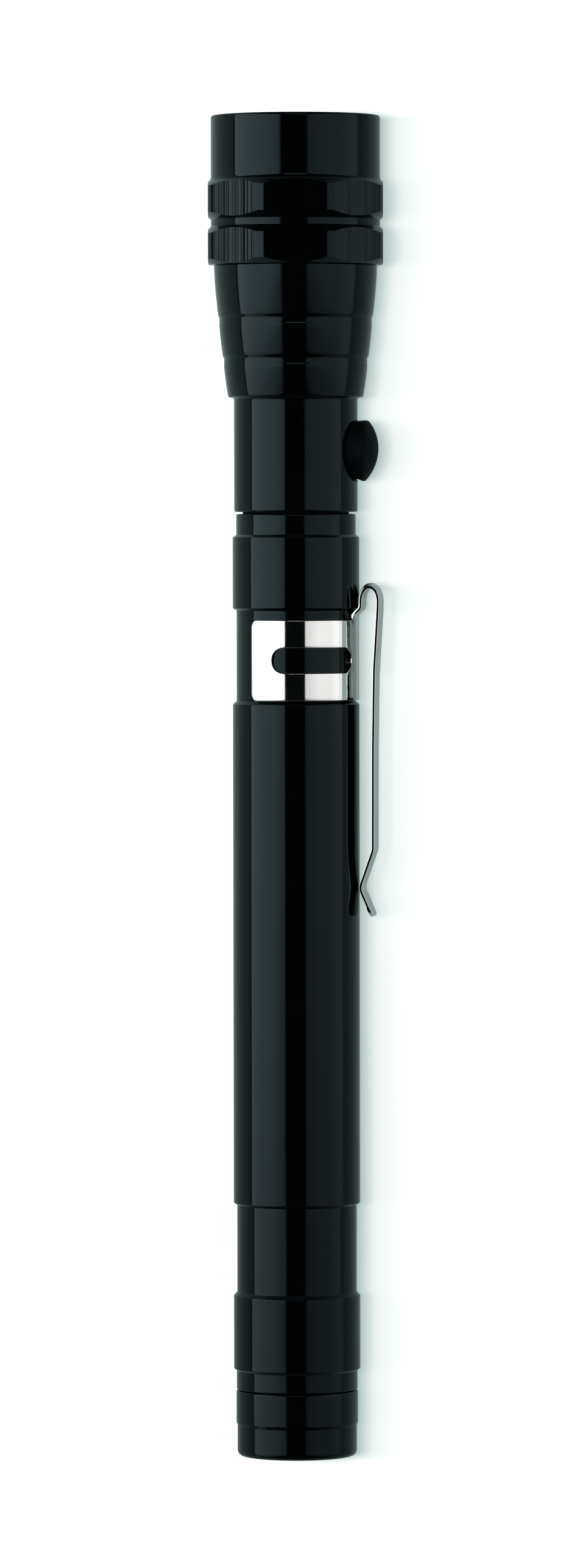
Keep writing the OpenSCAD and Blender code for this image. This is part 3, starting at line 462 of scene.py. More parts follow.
def make_bezel():
    """Front shell with its brim, milled grip rings and threaded neck."""
    columns, crisp = bezel_columns()
    rear_top = BEZEL + REAR_RING
    front = rear_top + RING_GROOVE
    front_top = front + FRONT_RING
    neck = BEZEL - NECK_LEN
    groove_top = BEZEL - SEAL_LAND - GAP
    groove = groove_top - SEAL_GROOVE
    core_r = BEZEL_NECK_R - THREAD_DEPTH
    shell = rounded([
        (BRIM_R, front_top), (BRIM_R, BEZEL_TOP, BRIM_EDGE),
        (LIGHT_BORE_R + MOUTH_BEVEL, BEZEL_TOP, THIN), (LIGHT_BORE_R, BEZEL_TOP - MOUTH_BEVEL, THIN),
        (LIGHT_BORE_R, BEZEL_TOP - LIGHT_BORE), (NECK_BORE_R, BEZEL_TOP - LIGHT_BORE),
        (NECK_BORE_R, neck, SOFT), (core_r, neck, EDGE),
        (core_r, groove - CORE_START), (BEZEL_NECK_R, groove - LAND_END),
        *seal_groove(BEZEL_NECK_R, groove, groove_top), (BEZEL_NECK_R, BEZEL),
    ], closed=False)

    def round_rows(outline):
        return [[at(r, angle, a) for angle, _ in columns] for r, a in outline]

    def slope(r, a, q, b):
        return round_rows([(r + (q - r) * share, a + (b - a) * share) for share in SLOPE_ROWS[:-1]])

    tip = CONE_RUN * (FLAT_R - CONE_R)
    turn = math.acos(1 - (CONE_R - BRIM_R) / BRIM_FOOT)
    hollow = [(BRIM_R + BRIM_FOOT * (1 - math.cos(t)), front_top - BRIM_FOOT * math.sin(t))
              for t in (turn * (1 - k / HOLLOW_STEPS) for k in range(1, HOLLOW_STEPS))]
    low, rear_high = BEZEL + REAR_SLOPES[0], rear_top - REAR_SLOPES[1]
    front_low, high = front + FRONT_SLOPE, front_top - BRIM_FOOT * math.sin(turn) - tip
    rows = slope(FLOOR_R, BEZEL, CONE_R, low - tip)
    flats = {len(rows) + len(SLOPE_ROWS)}
    rows += grip_ring(columns, low, rear_high)
    rows += slope(FLOOR_R, rear_top, CONE_R, rear_high + tip)[::-1]
    rows += slope(FLOOR_R, front, CONE_R, front_low - tip)
    flats.add(len(rows) + len(SLOPE_ROWS))
    rows += grip_ring(columns, front_low, high)
    rows += round_rows(hollow + shell)
    fit(skin("bezel_shell", rows, True, flats, crisp), "bezel", ANODISED, "anodised", "bezel")
    thread = groove - BEZEL_THREAD_INSET - neck - THREAD_INSET
    fit(wound("bezel_thread", THREAD_PITCH, core_r, neck + THREAD_INSET, thread, THREAD_DEPTH,
              THREAD_SIDES), "bezel", ANODISED, "anodised")


make_bezel()

# Light

PLATE_R, PLATE_T, PLATE_RECESS = 9.29, 2.0, 1.3
MAGNET_R, MAGNET_BEVEL = 2.6, 0.25
DIODES, DIODE_CIRCLE_R = 3, 6.0
DIODE_R, DIODE_H, DIODE_FLANGE, DIODE_FLANGE_H, DOME_STEPS = 2.5, 8.7, 0.4, 1.0, 12
# Cups round the diodes: mouth, foot and lip, and how far their cutters pass the plate and flare there
CUP_R, CUP_FOOT, CUP_LIP, CUP_LIP_H = 3.0, 0.5, 0.1, 0.3
CUP_PAST, CUP_FLARE = 1, 0.3
WELL_WALL, WELL_FLOOR = 0.6, 0.4
# Inside each diode: a post with an anvil on it, a dish in the anvil, and the chip in the dish
POST_R, POST_FOOT, POST_TOP = 0.3, 1.5, 4.4
ANVIL_R, ANVIL_RIM_R, ANVIL, ANVIL_TOP = 0.95, 1.05, 4.9, 5.6
DISH_R, DISH = 0.5, 5.15
CHIP, CHIP_R, CHIP_RIM, CHIP_TOP = 5.17, 0.82, 5.5, 5.56
# The first diode's share of a turn round the axis
DIODE_START = 1 / 12
DIODE_FOOT = span("light_diodes")[0]
DIODE_ANGLES = [TAU * (DIODE_START + k / DIODES) for k in range(DIODES)]


def beside(angle):
    """Placing for a piece that is turned about a diode's axis."""
    centre = at(DIODE_CIRCLE_R, angle, 0) - at(0, 0, 0)
    return lambda r, t, a: at(r, t, a) + centre


def make_light():
    """Bright plate with a cup round each diode, the magnet in its middle and the three diodes."""
    front = BEZEL_TOP - PLATE_RECESS
    back = front - PLATE_T
    magnet, magnet_top = span("front_magnet")
    well = magnet - WELL_FLOOR - GAP
    hole_r = MAGNET_R + SEAT
    plate = turned("light_reflector", [
        (0, magnet - GAP), (hole_r, magnet - GAP), (hole_r, front, FINE), (PLATE_R, front, FINE),
        (PLATE_R, back), (MAGNET_R + WELL_WALL, back), (MAGNET_R + WELL_WALL, well, EDGE), (0, well),
    ])
    cups = [
        turned("cup", [
            (0, back - CUP_PAST), (DIODE_R + GAP, back - CUP_PAST), (DIODE_R + GAP, back + CUP_FOOT),
            (CUP_R - CUP_LIP, front - CUP_LIP_H), (CUP_R, front), (CUP_R + CUP_FLARE, front + CUP_PAST),
            (0, front + CUP_PAST),
        ], place=beside(angle), columns=CUP_ROUND)
        for angle in DIODE_ANGLES
    ]
    fit(cut(plate, cups), "bezel", REFLECTOR, "reflector", "light_plate")
    fit(turned("face_magnet", [
        (0, magnet), (MAGNET_R, magnet, MAGNET_BEVEL), (MAGNET_R, magnet_top, MAGNET_BEVEL),
        (0, magnet_top),
    ], columns=MAGNET_ROUND), "bezel", NICKEL, "nickel", "front_magnet")

    rim_r = DIODE_R + DIODE_FLANGE
    forms = {
        "diode_lenses": (DIODE_RESIN, "diode_resin", ["light_diodes"], [
            (0, 0), (rim_r, 0, EDGE), (rim_r, DIODE_FLANGE_H, EDGE), (DIODE_R, DIODE_FLANGE_H, EDGE),
            *[(DIODE_R * math.cos(t), DIODE_H - DIODE_R + DIODE_R * math.sin(t))
              for t in (TAU / 4 * k / DOME_STEPS for k in range(DOME_STEPS + 1))],
        ]),
        "diode_frames": (NICKEL, "nickel", [], [
            (0, POST_FOOT), (POST_R, POST_FOOT), (POST_R, POST_TOP), (ANVIL_R, ANVIL, EDGE),
            (ANVIL_RIM_R, ANVIL_TOP, FINE), (ANVIL_R, ANVIL_TOP, FINE), (DISH_R, DISH), (0, DISH),
        ]),
        "diode_chips": (PHOSPHOR, "diode_resin", [], [
            (0, CHIP), (DISH_R, CHIP, FINE), (CHIP_R, CHIP_RIM, FINE), (0, CHIP_TOP),
        ]),
    }
    for name, (material, slot, nodes, outline) in forms.items():
        one = turned("one_diode", outline, columns=THIN_ROUND,
                     place=lambda r, t, a: at(r, t, a) - at(0, 0, 0))
        copies = grown(name, RING_OF_PIECES, {
            "Piece": one, "Count": DIODES, "Radius": DIODE_CIRCLE_R * MM,
            "Start": (TAU / 4, -TAU * DIODE_START, 0), "Centre": at(0, 0, DIODE_FOOT),
        })
        bpy.data.objects.remove(one)
        fit(copies, "bezel", material, slot, *nodes)


make_light()

# Switch housing and button

HOUSING, HOUSING_TOP = span("switch_housing")
HOUSING_BORE_R, HOUSING_R, HOUSING_NECK, HOUSING_ROUND = 6.7, 7.83, 14.48, 0.25
SOCKET_R, SOCKET = 8.65, 7.05
# Taper bands, rear to front: their lengths, how far each narrows to its rear, the power of that bow, the
# steps between them, and the distance at the front
TAPER_LENS, TAPER_DROPS, TAPER_ROWS = (5.11, 5.11, 6.5), (0.6, 0.47, 0.52), 8
TAPER_BOW, TAPER_STEP, TAPER_R = 1.5, 0.1, 10.34
# Steps: lengths of their slopes on both sides of the joint, and roundings of their ends
STEP_BELOW, STEP_ABOVE = 0.19, 0.2
STEP_ROUNDS, NECK_ROUNDS = (0.4, 0.6), (0.35, 0.5)
# Narrow turned land below each step: its length, and how far and over what length it falls from the band
LAND_LEN, LAND_RISE, LAND_FALL, LAND_ROWS = 1.03, 0.35, 0.026, 5
BUTTON_TURN = math.radians(7)
BUTTON_A = HOUSING + 7.7
BUTTON_HOLE_R, HOLE_FROM, HOLE_TO = 4.025, 3, 12
# Button: heights out from the flashlight's axis, and distances from its own
FLANGE, FLANGE_TOP, WAIST, RIM, DOME = 4.1, 4.9, 7.7, 9.05, 1.45
FLANGE_R, WAIST_R, RIM_R = 4.275, 3.65, 3.85
RIM_H, RIM_IN, RIM_UP, RIM_ROUND = 0.3, 0.03, 0.02, 0.9
# Share of the dome that the rim's rounding leaves, and its rows
CROWN, CROWN_ROWS = 0.8, 14
# How far the cap's rim leans, per unit across it, and how far its waist sits towards the head
BUTTON_LEAN, BUTTON_SHIFT = 0.06, 0.16


def at_button(r, angle, h):
    """Row point about the button's axis, at a height out from the flashlight's axis."""
    out = at(1, BUTTON_TURN, 0) - at(0, 0, 0)
    up = at(1, BUTTON_TURN + TAU / 4, 0) - at(0, 0, 0)
    along = Vector((0, MM, 0))
    return at(0, 0, BUTTON_A) + out * h + (along * math.cos(angle) + up * math.sin(angle)) * r


def taper_band(i):
    """Corners of one taper band, rear to front, with its land at the front unless it is the last."""
    front = HOUSING + HOUSING_NECK + sum(TAPER_LENS[:i + 1])
    rise = TAPER_LENS[i] - (STEP_ABOVE if i else 0)
    r = TAPER_R - TAPER_STEP * (len(TAPER_LENS) - 1 - i) - sum(TAPER_DROPS[i + 1:])

    def bowed(a):
        return r - TAPER_DROPS[i] * ((front - a) / rise) ** TAPER_BOW

    last = i == len(TAPER_LENS) - 1
    top = front if last else front - LAND_LEN
    rear = front - rise
    corners = [(bowed(rear), rear, STEP_ROUNDS[1] if i else NECK_ROUNDS[1])]
    for k in range(1, TAPER_ROWS):
        a = rear + (top - rear) * k / TAPER_ROWS
        corners.append((bowed(a), a))
    if last:
        return corners + [(r, front, EDGE)]
    for k in range(LAND_ROWS + 1):
        share = k / LAND_ROWS
        corners.append((bowed(top) - LAND_FALL * (1 - (1 - share) ** 2), top + LAND_RISE * share))
    return corners + [(bowed(top) - LAND_FALL, front - STEP_BELOW, STEP_ROUNDS[0])]


def make_housing():
    """Tapered shell with the button's hole, and the rubber button in it."""
    neck_top = HOUSING + HOUSING_NECK
    socket = HOUSING_TOP - SOCKET
    shell = turned("housing_shell", [
        (HOUSING_BORE_R, HOUSING), (HOUSING_R, HOUSING, HOUSING_ROUND),
        (HOUSING_R, neck_top, NECK_ROUNDS[0]), *taper_band(0), *taper_band(1), *taper_band(2),
        (SOCKET_R, HOUSING_TOP, SOFT), (SOCKET_R, socket), (HOUSING_BORE_R, socket),
    ], columns=SHELL_ROUND)
    hole = turned("hole", [
        (0, HOLE_FROM), (BUTTON_HOLE_R, HOLE_FROM), (BUTTON_HOLE_R, HOLE_TO), (0, HOLE_TO),
    ], place=at_button, columns=BUTTON_ROUND)
    fit(cut(shell, [hole]), "head", ANODISED, "anodised", "switch_housing")

    dome_r = (RIM_R ** 2 + DOME ** 2) / (2 * DOME)
    sweep = math.asin(RIM_R / dome_r)
    centre = RIM + DOME - dome_r

    def leaning(r, angle, h):
        """Row point on the cap, whose rim leans to the tail and whose waist sits nearer the head."""
        reach = min(max((h - WAIST) / (RIM - WAIST), 0), 1)
        stem = min(max((h - FLANGE_TOP) / (WAIST - FLANGE_TOP), 0), 1)
        lean = BUTTON_LEAN * r * math.cos(angle) * reach
        shift = Vector((0, BUTTON_SHIFT * MM * stem * (1 - reach), 0))
        return at_button(r, angle, h + lean) + shift

    fit(turned("button_dome", [
        (0, FLANGE), (FLANGE_R, FLANGE, EDGE), (FLANGE_R, FLANGE_TOP, EDGE), (WAIST_R, FLANGE_TOP, EDGE),
        (WAIST_R, WAIST, FULL), (RIM_R, RIM - RIM_H, FULL), (RIM_R - RIM_IN, RIM + RIM_UP, RIM_ROUND),
        *[(dome_r * math.sin(t), centre + dome_r * math.cos(t))
          for t in (CROWN * sweep * (1 - k / CROWN_ROWS) for k in range(CROWN_ROWS + 1))],
    ], place=leaning, columns=BUTTON_ROUND), "button", RUBBER, "rubber", "button_cap")


make_housing()

# Barrel and tail

BARREL, BARREL_TOP = span("barrel")
BARREL_BORE_R = 6.8
FOOT_R, BAND_R, LOW_GROOVE_R, GROOVE_R, COLLAR_R = 7.68, 8.03, 7.6, 7.55, 7.58
BARREL_LENS = (2.8, 9.45, 11.6, 63.45, 12.0, 9.1, 2.95)
BARREL_RADII = (FOOT_R, BAND_R, LOW_GROOVE_R, BAND_R, GROOVE_R, BAND_R, COLLAR_R)
# Shoulders of the bands, at the head by the section that follows, and at the tail: their lengths, how far
# they sit towards the head, and the roundings of their ends
SHOULDERS, SHOULDER_UP, SHOULDER_ROUNDS = {2: 0.48, 4: 0.42, 6: 0.33}, 0.15, (0.08, 0.06)
TAIL_SHOULDER, TAIL_SHOULDER_UP, TAIL_SHOULDER_ROUNDS = 0.3, 0.12, (0.04, 0.15)
END_BEVEL = 0.2
SLEEVE_BORE_R, SLEEVE_R, SLEEVE_ROUND = 5.15, 6.79, 0.2
TAIL_END_R, TAIL_END, TAIL_RIM_R, TAIL_LEN = 7.59, 4.1, 7.73, 8.2
TAIL_EDGE, TAIL_SLOPE, TAIL_NECK_R, TAIL_NECK = 0.75, 0.2, 6.75, 4.0
TAIL_MAGNET_R, TAIL_MAGNET, WELL_ROUND = 5.0, 3.0, 0.08
# How far the edges at the tail's joint stand towards the head, and the rounding of the cap's edge there
JOINT_UP, JOINT_ROUND = 0.2, 0.25
SEAL_SIDES = 20


def make_barrel():
    """Main tube with its bands, grooves and grip, and the guide sleeve in its mouth."""
    corners = [(BARREL_BORE_R, BARREL + JOINT_UP, EDGE), (FOOT_R, BARREL + JOINT_UP, END_BEVEL)]
    a = BARREL
    for i in range(1, len(BARREL_LENS)):
        a += BARREL_LENS[i - 1]
        if BARREL_RADII[i] > BARREL_RADII[i - 1]:
            top = a + TAIL_SHOULDER_UP
            foot = top - TAIL_SHOULDER
            rounds = TAIL_SHOULDER_ROUNDS
        else:
            foot = a + SHOULDER_UP - SHOULDERS[i] / 2
            top = foot + SHOULDERS[i]
            rounds = SHOULDER_ROUNDS
        corners += [(BARREL_RADII[i - 1], foot, rounds[0]), (BARREL_RADII[i], top, rounds[1])]
    corners += [(COLLAR_R, BARREL_TOP, END_BEVEL), (BARREL_BORE_R, BARREL_TOP, SOFT)]
    fit(turned("barrel_tube", corners, columns=SHELL_ROUND), "barrel", ANODISED, "anodised", "barrel")
    foot, top = span("guide_bush")
    fit(turned("guide_sleeve", [
        (SLEEVE_BORE_R, foot, SOFT), (SLEEVE_R, foot, EDGE), (SLEEVE_R, top, SLEEVE_ROUND),
        (SLEEVE_BORE_R, top, FULL),
    ]), "barrel", BLACK_PLASTIC, "black_plastic", "guide_bush")


def make_tail():
    """Tail cap with its threaded neck and the magnet in its end."""
    groove = TAIL_LEN + SEAL_LAND
    groove_top = groove + SEAL_GROOVE
    neck_top = TAIL_LEN + TAIL_NECK
    core_r = TAIL_NECK_R - THREAD_DEPTH
    well_r = TAIL_MAGNET_R + SEAT
    fit(turned("tail_shell", [
        (0, TAIL_MAGNET + GAP), (well_r, TAIL_MAGNET + GAP), (well_r, 0, WELL_ROUND),
        (TAIL_END_R, 0, TAIL_EDGE), (TAIL_END_R, TAIL_END - TAIL_SLOPE, THIN),
        (TAIL_RIM_R, TAIL_END + TAIL_SLOPE, EDGE), (TAIL_RIM_R, TAIL_LEN + JOINT_UP, JOINT_ROUND),
        (TAIL_NECK_R, TAIL_LEN + JOINT_UP), *seal_groove(TAIL_NECK_R, groove, groove_top),
        (TAIL_NECK_R, groove_top + LAND_END),
        (core_r, groove_top + CORE_START), (core_r, neck_top, EDGE), (0, neck_top),
    ], columns=SHELL_ROUND), "tail_cap", ANODISED, "anodised", "tail_cap")
    thread = neck_top - THREAD_INSET - groove_top - THREAD_INSET
    fit(wound("tail_thread", THREAD_PITCH, core_r, groove_top + THREAD_INSET, thread, THREAD_DEPTH,
              THREAD_SIDES), "tail_cap", ANODISED, "anodised")
    fit(turned("tail_magnet_disc", [
        (0, 0), (TAIL_MAGNET_R, 0, MAGNET_BEVEL), (TAIL_MAGNET_R, TAIL_MAGNET), (0, TAIL_MAGNET),
    ]), "tail_cap", NICKEL, "nickel", "tail_magnet")


def make_seals():
    """Rubber rings in the grooves of both necks."""
    for seal in ("bezel_seal", "tail_seal"):
        low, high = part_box(seal)
        section = (high.y - low.y) / 2 / MM
        ring_r = (high.z - low.z) / 2 / MM - section
        middle = sum(span(seal)) / 2
        ring = [(ring_r + section * math.cos(t), middle + section * math.sin(t))
                for t in (TAU * k / SEAL_SIDES for k in range(SEAL_SIDES))]
        fit(turned(seal + "_ring", ring), seal, RUBBER, "rubber", seal)


make_barrel()
make_tail()
make_seals()

# Telescope

ROD_FOOT, ROD_TOP = span("outer_rod")
ROD_RADII = (5.1, 4.5, 3.9, 3.3)
ROD_WALL, LIP = 0.35, 1.0
NECK_PITCH, NECK_WIRE, NECK_SIDES, NECK_CORE_R, NECK_INNER_R = 1.6, 0.74, 12, 2.75, 2.1
PLUG_R, PLUG_FLOOR = 6.69, 1.0


def make_telescope():
    """Three nested rods, each rolled in at its top, and the gooseneck's wound wire on its core."""
    for i, body in enumerate(("outer_rod", "middle_rod", "inner_rod")):
        r = ROD_RADII[i]
        mouth = ROD_RADII[i + 1] + GAP
        fit(turned(body + "_tube", [
            (r - ROD_WALL, ROD_FOOT, FINE), (r, ROD_FOOT, FINE), (r, ROD_TOP, ROD_WALL),
            (mouth, ROD_TOP, EDGE), (mouth, ROD_TOP - LIP, EDGE), (r - ROD_WALL, ROD_TOP - LIP),
        ]), body, TUBE_CHROME, "chrome", body)
    foot, top = span("gooseneck")
    reach = top - foot - 2 * NECK_WIRE
    fit(wound("gooseneck_wire", NECK_PITCH, ROD_RADII[3] - NECK_WIRE, foot + NECK_WIRE, reach,
              NECK_WIRE, NECK_SIDES), "head", TUBE_CHROME, "chrome", "gooseneck")
    fit(turned("gooseneck_core", [
        (NECK_INNER_R, foot), (NECK_CORE_R, foot), (NECK_CORE_R, top), (NECK_INNER_R, top),
    ], columns=THIN_ROUND), "head", NICKEL, "nickel")
    spigot, plug_top = span("neck_plug")
    floor = plug_top - PLUG_FLOOR
    bore_r = ROD_RADII[3] + SEAT
    fit(turned("plug_body", [
        (0, floor), (bore_r, floor), (bore_r, spigot, SOFT), (TAIL_NECK_R, spigot, FULL),
        (TAIL_NECK_R, HOUSING - GAP, HAIR), (PLUG_R, HOUSING - GAP, HAIR), (PLUG_R, plug_top, EDGE),
        (0, plug_top),
    ]), "head", MATT_ANODISED, "anodised", "neck_plug")


make_telescope()

# Clip

CLIP_TURN = math.radians(7)
CLIP_FOOT, CLIP_TOP = 96.05, 106.15
CLIP_BAND_R, CLIP_THICK, CLIP_HALF, CLIP_CORNER = 7.8, 0.4, 2.6, 0.85
BAND_H = CLIP_TOP - CLIP_FOOT
# Lengths round the band from its middle: to its ends, to both ends of its slots and to the strap's edge
WRAP, SLOT_FROM, SLOT_TO = (CLIP_BAND_R * math.radians(angle) for angle in (128, 21.5, 106))
STRAP = CLIP_BAND_R * math.asin(CLIP_HALF / CLIP_BAND_R)
# Height of the slots, and the rounding that just leaves a straight at their ends
SLOT_H = 3.25
SLOT_ROUND = SLOT_H / 2 - 0.001
# Strand from the band up to the loop, and the half ellipse of the loop
JOGGLE, JOGGLE_TOP, JOGGLE_ROUND = 106.85, 107.65, 0.5
STRAND_R, LOOP_HALF, LOOP_A, LOOP_H, LOOP_STEPS = 8.48, 1.1, 108.5, 1.9, 24
# Arm from the loop to the flared tip: distances, heights and bends
ARM = (
    (10.66, 107.5, 20), (10.2, 99.9, 40), (10.05, 90), (10.02, 77.05, 2.2), (8.32, 72.25, 1.6),
    (9.9, 68.65),
)
TIP_ROUND = 1.3
# Length of the strap over which it goes from the band's curve to flat
FLATTEN = 2.2
# Rib pressed out of the strap: its height and widths, and where and over what length it fades
PRESSED_H, PRESSED_FLAT, PRESSED_HALF = 0.28, 0.42, 0.8
PRESSED_START, PRESSED_END, PRESSED_FADE = LOOP_A - 0.2, 90.2, 0.9
# Blank: steps along its rims, columns and rows of points on band and strap, and their least distance
RIM_STEP, BAND_COLUMNS, BAND_ROWS = 0.3, 64, 26
STRAP_COLUMN, STRAP_COLUMNS, STRAP_ROW = 0.17, 15, 0.28
POINT_GAP, POINT_MERGE = 0.16, 1e-6
CLIP_EDGE, CLIP_EDGE_STEPS = 0.06, 4
CLIP_EDGE_ANGLE, CLIP_CRISP = math.radians(50), math.radians(60)


def ease(x):
    """Smooth step from 0 to 1."""
    x = min(max(x, 0), 1)
    return x * x * (3 - 2 * x)


def clip_path():
    """Middle of the strap's steel as (distance, height), from the band's top over the loop to the tip."""
    top = STRAND_R + 2 * LOOP_HALF
    strand = rounded([
        (CLIP_BAND_R, CLIP_TOP), (CLIP_BAND_R, JOGGLE, JOGGLE_ROUND),
        (STRAND_R, JOGGLE_TOP, JOGGLE_ROUND), (STRAND_R, LOOP_A),
    ], closed=False)
    loop = [
        (STRAND_R + LOOP_HALF * (1 - math.cos(t)), LOOP_A + LOOP_H * math.sin(t))
        for t in (TAU / 2 * k / LOOP_STEPS for k in range(1, LOOP_STEPS))
    ]
    return strand + loop + rounded([(top, LOOP_A), *ARM], closed=False)


def divided(corners):
    """Closed outline on the blank, with its straights divided."""
    ring = []
    bare = rounded(corners, closed=True)
    for (p, q), (x, y) in zip(bare, bare[1:] + bare[:1]):
        count = max(1, round(math.hypot(x - p, y - q) / RIM_STEP))
        ring += [(p + (x - p) * k / count, q + (y - q) * k / count) for k in range(count)]
    return ring


def clip_blank(tip):
    """Points and faces of the clip's flat blank, up to the strap's tip."""
    rims = [divided([
        (-WRAP, 0, CLIP_CORNER), (WRAP, 0, CLIP_CORNER), (WRAP, BAND_H, CLIP_CORNER),
        (STRAP, BAND_H, FULL), (STRAP, tip, TIP_ROUND), (-STRAP, tip, TIP_ROUND), (-STRAP, BAND_H, FULL),
        (-WRAP, BAND_H, CLIP_CORNER),
    ])]
    low, high = (BAND_H - SLOT_H) / 2, (BAND_H - SLOT_H) / 2 + SLOT_H
    for near, far in ((-SLOT_FROM, -SLOT_TO), (SLOT_FROM, SLOT_TO)):
        slot = (near, low), (far, low), (far, high), (near, high)
        rims.append(divided([(*corner, SLOT_ROUND) for corner in slot]))
    points = []
    edges = []
    for rim in rims:
        first = len(points)
        points += rim
        edges += [(first + k, first + (k + 1) % len(rim)) for k in range(len(rim))]
    inside = []
    for u in (WRAP * (k / BAND_COLUMNS - 1) for k in range(1, 2 * BAND_COLUMNS)):
        inside += [(u, BAND_H * k / BAND_ROWS) for k in range(1, BAND_ROWS)]
    widths = [k * STRAP_COLUMN for k in range(-STRAP_COLUMNS, STRAP_COLUMNS + 1)]
    rows = round((tip - BAND_H) / STRAP_ROW)
    for k in range(rows):
        inside += [(u, BAND_H + (tip - BAND_H) * k / rows) for u in widths]
    points += [(u, v) for u, v in inside
               if min((u - x) ** 2 + (v - y) ** 2 for x, y in points) > POINT_GAP ** 2]
    points, _, faces, *_ = delaunay_2d_cdt([Vector(p) for p in points], edges, [], 1, POINT_MERGE)

    def in_slot(face):
        """Tells whether a face lies in one of the slots."""
        u, v = sum((points[k] for k in face), Vector((0, 0))) / len(face)
        beyond = max(SLOT_FROM + SLOT_H / 2 - abs(u), abs(u) - (SLOT_TO - SLOT_H / 2), 0)
        return math.hypot(beyond, v - BAND_H / 2) < SLOT_H / 2

    return points, [face for face in faces if not in_slot(face)]


def make_clip():
    """Spring clip bent from one flat blank: a slotted band round the barrel and a strap with a rib."""
    path = clip_path()
    marks = [0]
    for (r, a), (q, b) in zip(path, path[1:]):
        marks.append(marks[-1] + math.hypot(q - r, b - a))

    def along(s):
        """Distance, height and outward direction of the strap's middle at a length along it."""
        i = max(k for k in range(len(marks) - 1) if marks[k] <= s or k == 0)
        t = (s - marks[i]) / (marks[i + 1] - marks[i])
        here = complex(*path[i]) * (1 - t) + complex(*path[i + 1]) * t
        before = complex(*path[max(i - 1, 0)])
        after = complex(*path[min(i + 2, len(path) - 1)])
        heading = (after - before) / abs(after - before)
        return here, heading * 1j

    start_mark = next(m for m, (r, a) in zip(marks, path) if a > PRESSED_START)
    end_mark = max(m for m, (r, a) in zip(marks, path) if a > PRESSED_END)

    def pressed(s, w):
        """Height of the rib that is pressed out of the strap."""
        across = ease((PRESSED_HALF - abs(w)) / (PRESSED_HALF - PRESSED_FLAT))
        from_start, to_end = (s - start_mark) / PRESSED_FADE, (end_mark - s) / PRESSED_FADE
        return PRESSED_H * across * ease(from_start) * ease(to_end)

    def bend(u, v):
        """Row point of a point of the flat blank."""
        if v <= BAND_H:
            return at(CLIP_BAND_R, CLIP_TURN + u / CLIP_BAND_R, CLIP_FOOT + v)
        s = v - BAND_H
        here, out = along(s)
        flat = ease(s / FLATTEN)
        w = u * CLIP_HALF / STRAP
        here += out * pressed(s, w)
        r = here.real + (1 - flat) * CLIP_BAND_R * (math.cos(u / CLIP_BAND_R) - 1)
        side = flat * w + (1 - flat) * CLIP_BAND_R * math.sin(u / CLIP_BAND_R)
        return at(math.hypot(r, side), CLIP_TURN + math.atan2(side, r), here.imag)

    points, faces = clip_blank(BAND_H + marks[-1])
    piece = solid("spring_clip", [bend(u, v) for u, v in points], faces)
    wall = piece.modifiers.new("wall", "SOLIDIFY")
    wall.thickness = CLIP_THICK * MM
    wall.offset = 0
    wall.use_even_offset = True
    edge = piece.modifiers.new("edge", "BEVEL")
    edge.width = CLIP_EDGE * MM
    edge.segments = CLIP_EDGE_STEPS
    edge.limit_method = "ANGLE"
    edge.angle_limit = CLIP_EDGE_ANGLE
    settle(piece, CLIP_CRISP)
    piece.data.materials.append(CHROME)
    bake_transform(piece)
    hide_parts("clip_band", "clip_arm")


make_clip()

# Inner pieces that keep their solids

INNER_FINISHES = (
    (CIRCUIT_BOARD, ("light_board", "contact_board")),
    (BLACK_PLASTIC, ("battery_sleeve", "switch_carrier", "push_switch")),
    (NICKEL, ("button_cells", "battery_spring", "switch_plunger")),
    (BRASS, ("light_contact", "neck_journal", "neck_bush", "inner_rod_bush", "middle_rod_bush",
             "outer_rod_slider")),
)
for material, names in INNER_FINISHES:
    for node in (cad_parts[name] for name in names):
        if not node.material_slots:
            node.data.materials.append(material)
        for used in node.material_slots:
            used.material = material

# Studio

# All sizes of the studio are in metres.
# Walls of soft light that show in the gloss: their distance and ends, and for each its side, foot, top
# and brightness, and how that falls from the foot to the top
WALL_X, WALL_ENDS = 0.6, (-0.5, 0.4)
LEFT_FALL = ((0.0, 1.0), (0.12, 0.9), (0.35, 0.82), (0.66, 0.6), (0.87, 0.54), (1.0, 0.0))
RIGHT_FALL = (
    (0.0, 0.7), (0.035, 0.74), (0.07, 0.88), (0.15, 0.76), (0.31, 0.78), (0.66, 0.64), (0.84, 0.61),
    (1.0, 0.0),
)
LIGHT_WALLS = (
    ("left_wall", -1, 0.013, 1.69, 3.0, LEFT_FALL),
    ("right_wall", 1, -0.05, 2.21, 1.28, RIGHT_FALL),
)
# How both walls fade from the middle of their length towards the tail
TAIL_FALL = ((0.0, 0.2), (0.17, 0.42), (0.28, 0.54), (0.39, 0.63), (0.44, 0.76), (0.5, 0.9), (0.57, 1.0))
# Small lamp ahead of the flashlight, which glints in the corners that face it
AHEAD_Y, AHEAD_Z, AHEAD_SIZE, AHEAD_LIGHT = 0.36, 1.05, (0.56, 0.16), 2.2
# Overhead lights that fall on matt surfaces: where they hang, angles left of the zenith, shares and sum
OVERHEAD_Y, OVERHEAD_Z, OVERHEAD_LENGTH = 0.04, 1.2, 0.09
OVERHEAD_LIGHTS = (("key_light", 0, 10, 0.6), ("soft_light", 10, 36, 0.4))
MATT_LIGHT = 2.7
# Table top: its edges and ends, its tones by light and in the gloss, and its glow, of which the gloss
# shows a share on each side that fades on the left towards the tail. The tone in the gloss paints the
# table darker in its reflection, and both shares are painted shade there: the right one stands for the
# flashlight's shadow, and the left one darkens towards the tail
TABLE_LEFT, TABLE_RIGHT, TABLE_END = -0.31, 0.27, 1.3
TABLE_TONE, TABLE_PAINTED_GLOSS_TONE = (0.88, 0.75, 0.78, 1), (0.19, 0.23, 0.24, 1)
TABLE_GLOW, PAINTED_GLOSS_SHADE_LEFT, PAINTED_GLOSS_SHADE_RIGHT = (0.39, 0.52, 0.49, 1), (0.34, 0.7), 0.4
PAINTED_GLOSS_SHADE_TURN, PAINTED_GLOSS_SHADE_FADE = 0.012, (-0.085, 0.015)
